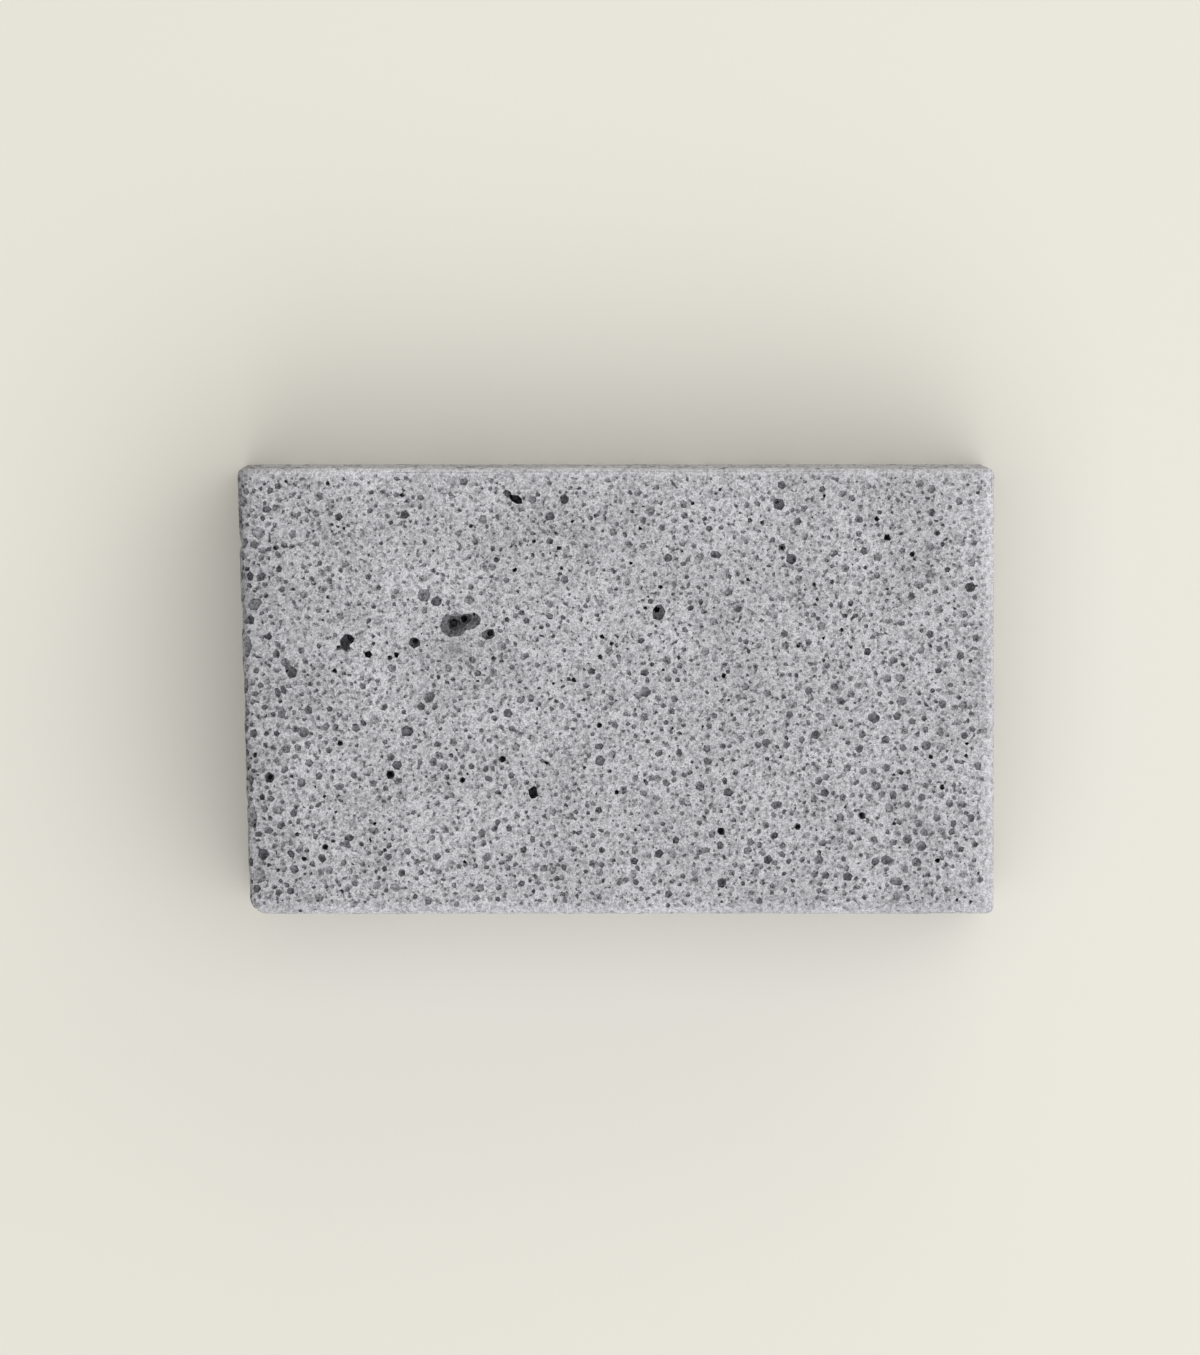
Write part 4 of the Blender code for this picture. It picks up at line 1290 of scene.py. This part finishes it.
# The land itself is dimpled by half-buried bubbles, painted darker in each dimple as painted shade,
# with a thin ridge between each two painted pale as a painted highlight.
DIMPLE_MM = 0.78
DIMPLE_RANGE = (0.10, 0.62)
DIMPLE_SHADE_AND_HIGHLIGHT_TONES = (0.90, 1.07)
DIMPLE_DENT_MM = 0.17
WALL_PORE_GAIN = 1.1
WARP_MM = 0.30
WARP_REACH_MM = 0.16
WARP_DETAIL = 0.0
GRAIN_MM = 0.21
GRAIN_DETAIL = 1.0
GRAIN_RANGE = (0.36, 0.64)
GRAIN_TONES = (0.78, 1.17)
GRAIN_DENT_MM = 0.10
PATCH_MM = 9.0
PATCH_DETAIL = 3.0
PATCH_RANGE = (0.3, 0.7)
PATCH_TONES = (0.90, 1.10)
# The dust has filled this share of the fine pores on the rubbed edges, and the rounded rubbed edges
# are painted lighter, as a painted highlight.
RUBBED_FILL = 0.55
RUBBED_EDGE_HIGHLIGHT_TONE = 1.12
# The left end, turned from the light, is painted darker as painted shade, most at its edge and a
# little for some way in.
LEFT_EDGE_SHADE_MM = 2.6
LEFT_EDGE_SHADE_TONE = 0.68
LEFT_END_SHADE_MM = 16.0
LEFT_END_SHADE_TONE = 0.87
DUST_ROUGHNESS = 0.95
DUST_SHINE = 0.25


def noise_node(tree, place, size_mm, detail):
    """A Noise Texture whose waves are about this long."""
    made = add_node(tree, 'ShaderNodeTexNoise', noise_dimensions='3D')
    made.inputs["Scale"].default_value = 1.0 / size_mm
    made.inputs["Detail"].default_value = detail
    tree.links.new(place, made.inputs["Vector"])
    return made


def pore_layer(tree, place, cell_mm, least, most):
    """How dark a fine pore is painted at each point, 0 to 1, as painted shade."""
    cells = add_node(tree, 'ShaderNodeTexVoronoi', voronoi_dimensions='3D', feature='F1')
    cells.inputs["Scale"].default_value = 1.0 / cell_mm
    tree.links.new(place, cells.inputs["Vector"])
    parts = add_node(tree, 'ShaderNodeSeparateColor')
    tree.links.new(cells.outputs["Color"], parts.inputs["Color"])
    radius = maths(tree, 'MULTIPLY_ADD', parts.outputs[0], most - least, least)
    inner = maths(tree, 'MULTIPLY', radius, PORE_EDGE)
    strength = maths(tree, 'MULTIPLY_ADD', parts.outputs[1], 1.0 - PORE_FAINTEST, PORE_FAINTEST)
    disc = remap(tree, cells.outputs["Distance"], inner, radius, 1.0, 0.0)
    return maths(tree, 'MULTIPLY', disc, strength)


def dimples(tree, place):
    """How high the land stands between half-buried bubbles: 0 in a dimple, 1 on a ridge."""
    cells = add_node(tree, 'ShaderNodeTexVoronoi', voronoi_dimensions='3D', feature='F1')
    cells.inputs["Scale"].default_value = 1.0 / DIMPLE_MM
    tree.links.new(place, cells.inputs["Vector"])
    return remap(tree, cells.outputs["Distance"], *DIMPLE_RANGE, 0.0, 1.0)


def dent(tree, height, depth_mm, normal=None):
    """A Bump node that raises the surface by a height times a depth."""
    made = add_node(tree, 'ShaderNodeBump')
    made.inputs["Strength"].default_value = 1.0
    made.inputs["Distance"].default_value = depth_mm * MM
    tree.links.new(height, made.inputs["Height"])
    if normal is not None:
        tree.links.new(normal, made.inputs["Normal"])
    return made.outputs["Normal"]


def warped(tree, place):
    """The place, pushed about a little so that nothing drawn from it is quite round."""
    push = noise_node(tree, place, WARP_MM, WARP_DETAIL)
    centred = add_node(tree, 'ShaderNodeVectorMath', operation='SUBTRACT')
    centred.inputs[1].default_value = (0.5, 0.5, 0.5)
    tree.links.new(push.outputs["Color"], centred.inputs[0])
    scaled = add_node(tree, 'ShaderNodeVectorMath', operation='SCALE')
    scaled.inputs["Scale"].default_value = WARP_REACH_MM * 2
    tree.links.new(centred.outputs[0], scaled.inputs[0])
    moved = add_node(tree, 'ShaderNodeVectorMath', operation='ADD')
    tree.links.new(place, moved.inputs[0])
    tree.links.new(scaled.outputs[0], moved.inputs[1])
    return moved.outputs[0]


def stone_finish():
    """Dusty pale land with painted shade and highlights, darker cells, fine pores and a sugary grain."""
    made = bpy.data.materials.new("pumice_dusty_grey_painted_shade")
    made.use_nodes = True
    tree = made.node_tree
    shader = tree.nodes["Principled BSDF"]
    spot = add_node(tree, 'ShaderNodeTexCoord')
    scaled = add_node(tree, 'ShaderNodeVectorMath', operation='SCALE')
    scaled.inputs["Scale"].default_value = 1.0 / MM
    tree.links.new(spot.outputs["Object"], scaled.inputs[0])
    place = scaled.outputs[0]

    depth = add_node(tree, 'ShaderNodeAttribute', attribute_type='GEOMETRY', attribute_name="depth_mm")
    wall = add_node(tree, 'ShaderNodeAttribute', attribute_type='GEOMETRY', attribute_name="wall_shade_tone")
    grain = noise_node(tree, place, GRAIN_MM, GRAIN_DETAIL)
    patch = noise_node(tree, place, PATCH_MM, PATCH_DETAIL)
    rub_and_highlight = add_node(tree, 'ShaderNodeAttribute', attribute_type='GEOMETRY', attribute_name="rubbed_and_highlit")
    along = add_node(tree, 'ShaderNodeSeparateXYZ')
    tree.links.new(place, along.inputs[0])
    left = -LENGTH / 2 / MM
    # Deeper points are painted darker, as painted shade.
    tone = remap(tree, depth.outputs["Fac"], SKIN_MM, DEEPEST_MM, 1.0, DEEPEST_SHADE_TONE, smooth=False)
    for factor in (
            # The wall tone is painted shade in the cells.
            wall.outputs["Fac"],
            remap(tree, grain.outputs["Fac"], *GRAIN_RANGE, *GRAIN_TONES, smooth=False),
            remap(tree, patch.outputs["Fac"], *PATCH_RANGE, *PATCH_TONES, smooth=False),
            # The rubbed edges get a painted highlight.
            maths(tree, 'MULTIPLY_ADD', rub_and_highlight.outputs["Fac"], RUBBED_EDGE_HIGHLIGHT_TONE - 1.0, 1.0),
            # The left end is painted darker, as painted shade.
            remap(tree, along.outputs[0], left, left + LEFT_EDGE_SHADE_MM, LEFT_EDGE_SHADE_TONE, 1.0),
            remap(tree, along.outputs[0], left, left + LEFT_END_SHADE_MM, LEFT_END_SHADE_TONE, 1.0)):
        tone = maths(tree, 'MULTIPLY', tone, factor)
    crooked = warped(tree, place)
    dimple = dimples(tree, place)
    # The dimples are painted darker and the ridges lighter, as painted shade and highlight.
    tone = maths(tree, 'MULTIPLY', tone, remap(tree, dimple, 0.0, 1.0, *DIMPLE_SHADE_AND_HIGHLIGHT_TONES, smooth=False))
    open_share = maths(tree, 'MULTIPLY_ADD', rub_and_highlight.outputs["Fac"], -RUBBED_FILL, 1.0)
    for cell_mm, least, most, darkening in PORE_LAYERS:
        pore = pore_layer(tree, crooked, cell_mm, least, most)
        # The pores are painted darker on a wall that is painted darker, as deeper shade.
        on_land = -darkening - WALL_PORE_GAIN
        strength = maths(tree, 'MULTIPLY_ADD', wall.outputs["Fac"], WALL_PORE_GAIN, on_land)
        strength = maths(tree, 'MULTIPLY', strength, open_share)
        tone = maths(tree, 'MULTIPLY', tone, maths(tree, 'MULTIPLY_ADD', pore, strength, 1.0))
    tint = add_node(tree, 'ShaderNodeVectorMath', operation='SCALE')
    tint.inputs[0].default_value = LAND_COLOUR[:3]
    tree.links.new(tone, tint.inputs["Scale"])
    tree.links.new(tint.outputs[0], shader.inputs["Base Color"])

    dented = dent(tree, dimple, DIMPLE_DENT_MM)
    dented = dent(tree, grain.outputs["Fac"], GRAIN_DENT_MM, dented)
    tree.links.new(dented, shader.inputs["Normal"])
    shader.inputs["Roughness"].default_value = DUST_ROUGHNESS
    shader.inputs["Specular IOR Level"].default_value = DUST_SHINE
    return made


def note_walls(piece):
    """Write down each face's painted shade by its kind, so that one finish can show them all."""
    order = (land_mark, *kind_marks)
    tones = [WALL_SHADE_TONES[order.index(mark)] for mark in piece.data.materials]
    walls = piece.data.attributes.new("wall_shade_tone", 'FLOAT', 'FACE')
    for face in piece.data.polygons:
        walls.data[face.index].value = tones[face.material_index]
        face.material_index = 0
    piece.data.materials.clear()
    for mark in order:
        bpy.data.materials.remove(mark)


note_walls(stone)
stone.data.materials.append(stone_finish())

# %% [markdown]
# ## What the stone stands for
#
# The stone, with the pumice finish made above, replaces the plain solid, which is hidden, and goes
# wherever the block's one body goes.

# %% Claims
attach(stone, "root")
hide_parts("pumice_stone")

# %% [markdown]
# ## Studio
#
# The stone is seen almost from straight above on a plain pale floor. One large soft light stands
# high on the near right, a low pale card beyond the far edge lightens that side, and a pale surround
# fills the rest, so the far and left edges get a faint soft shadow.

# %% Floor
FLOOR_SIZE = 6.0
FLOOR_COLOUR = (0.805, 0.797, 0.757, 1.0)
FLOOR_ROUGHNESS = 0.9
FLOOR_SHINE = 0.1


def floor():
    """A wide pale sheet under the stone."""
    bm = bmesh.new()
    bmesh.ops.create_grid(bm, x_segments=1, y_segments=1, size=FLOOR_SIZE / 2)
    made = object_from(bm, "floor")
    made.data.materials.append(floor_finish())
    return made


def floor_finish():
    """Plain warm white."""
    made = bpy.data.materials.new("floor_warm_white")
    made.use_nodes = True
    shader = made.node_tree.nodes["Principled BSDF"]
    shader.inputs["Base Color"].default_value = FLOOR_COLOUR
    shader.inputs["Roughness"].default_value = FLOOR_ROUGHNESS
    shader.inputs["Specular IOR Level"].default_value = FLOOR_SHINE
    return made


ground = floor()

# %% Lights
KEY_SIZE = 2.2
KEY_DISTANCE = 1.2
KEY_AZIMUTH = math.radians(-56)
KEY_ELEVATION = math.radians(69)
KEY_POWER = 15.3
FILL_SIZE = (1.6, 0.8)
FILL_DISTANCE = 1.1
FILL_AZIMUTH = math.radians(58)
FILL_ELEVATION = math.radians(20)
FILL_POWER = 4.3
FILL_COLOUR = (1.0, 0.95, 0.86)
SURROUND_COLOUR = (1.0, 0.95, 0.84, 1.0)
SURROUND_STRENGTH = 0.385


def aim(thing, target):
    """Turn a light to look at a point."""
    thing.rotation_euler = (Vector(target) - thing.location).to_track_quat('-Z', 'Y').to_euler()


def stand_light(lamp, azimuth, elevation, distance):
    """Stand a lamp in a direction from the stone and aim it there."""
    made = bpy.data.objects.new(lamp.name, lamp)
    flat = math.cos(elevation) * distance
    height = math.sin(elevation) * distance
    made.location = (math.cos(azimuth) * flat, math.sin(azimuth) * flat, height)
    aim(made, (0, 0, 0))
    bpy.context.scene.collection.objects.link(made)


def key_light():
    """The large soft light on the near right."""
    lamp = bpy.data.lights.new("key", 'AREA')
    lamp.shape = 'DISK'
    lamp.size = KEY_SIZE
    lamp.energy = KEY_POWER
    stand_light(lamp, KEY_AZIMUTH, KEY_ELEVATION, KEY_DISTANCE)


def fill_light():
    """A low pale card beyond the far edge."""
    lamp = bpy.data.lights.new("fill", 'AREA')
    lamp.shape = 'RECTANGLE'
    lamp.size, lamp.size_y = FILL_SIZE
    lamp.energy = FILL_POWER
    lamp.color = FILL_COLOUR
    stand_light(lamp, FILL_AZIMUTH, FILL_ELEVATION, FILL_DISTANCE)


def surround():
    """Even pale light from all round."""
    world = bpy.data.worlds.new("surround")
    world.use_nodes = True
    back = world.node_tree.nodes["Background"]
    back.inputs["Color"].default_value = SURROUND_COLOUR
    back.inputs["Strength"].default_value = SURROUND_STRENGTH
    bpy.context.scene.world = world


key_light()
fill_light()
surround()
bpy.context.scene.view_settings.view_transform = 'Standard'

# %% Camera
# The camera stands a little towards the far left of straight above.
CAMERA_DISTANCE = 1.54
CAMERA_TO_LEFT = math.radians(0.2)
CAMERA_TO_FAR = math.radians(2.15)
# The point that it looks at, and the height of what it sees there.
LOOK_AT = Vector((-2.1 * MM, 1.85 * MM, THICKNESS))
SEEN_HEIGHT = 178.9 * MM
SENSOR_HEIGHT = 36.0


def camera():
    """A long lens that looks down on the stone."""
    lens = bpy.data.cameras.new("camera")
    lens.sensor_fit = 'AUTO'
    lens.sensor_width = SENSOR_HEIGHT
    lens.lens = SENSOR_HEIGHT * CAMERA_DISTANCE / SEEN_HEIGHT
    made = bpy.data.objects.new("camera", lens)
    to_camera = Vector((-math.tan(CAMERA_TO_LEFT), math.tan(CAMERA_TO_FAR), 1.0)).normalized()
    made.location = LOOK_AT + to_camera * CAMERA_DISTANCE
    x_axis = (Vector((1, 0, 0)) - to_camera * to_camera.x).normalized()
    turn = Matrix((x_axis, to_camera.cross(x_axis), to_camera)).transposed()
    made.rotation_euler = turn.to_euler()
    bpy.context.scene.collection.objects.link(made)
    bpy.context.scene.camera = made


camera()
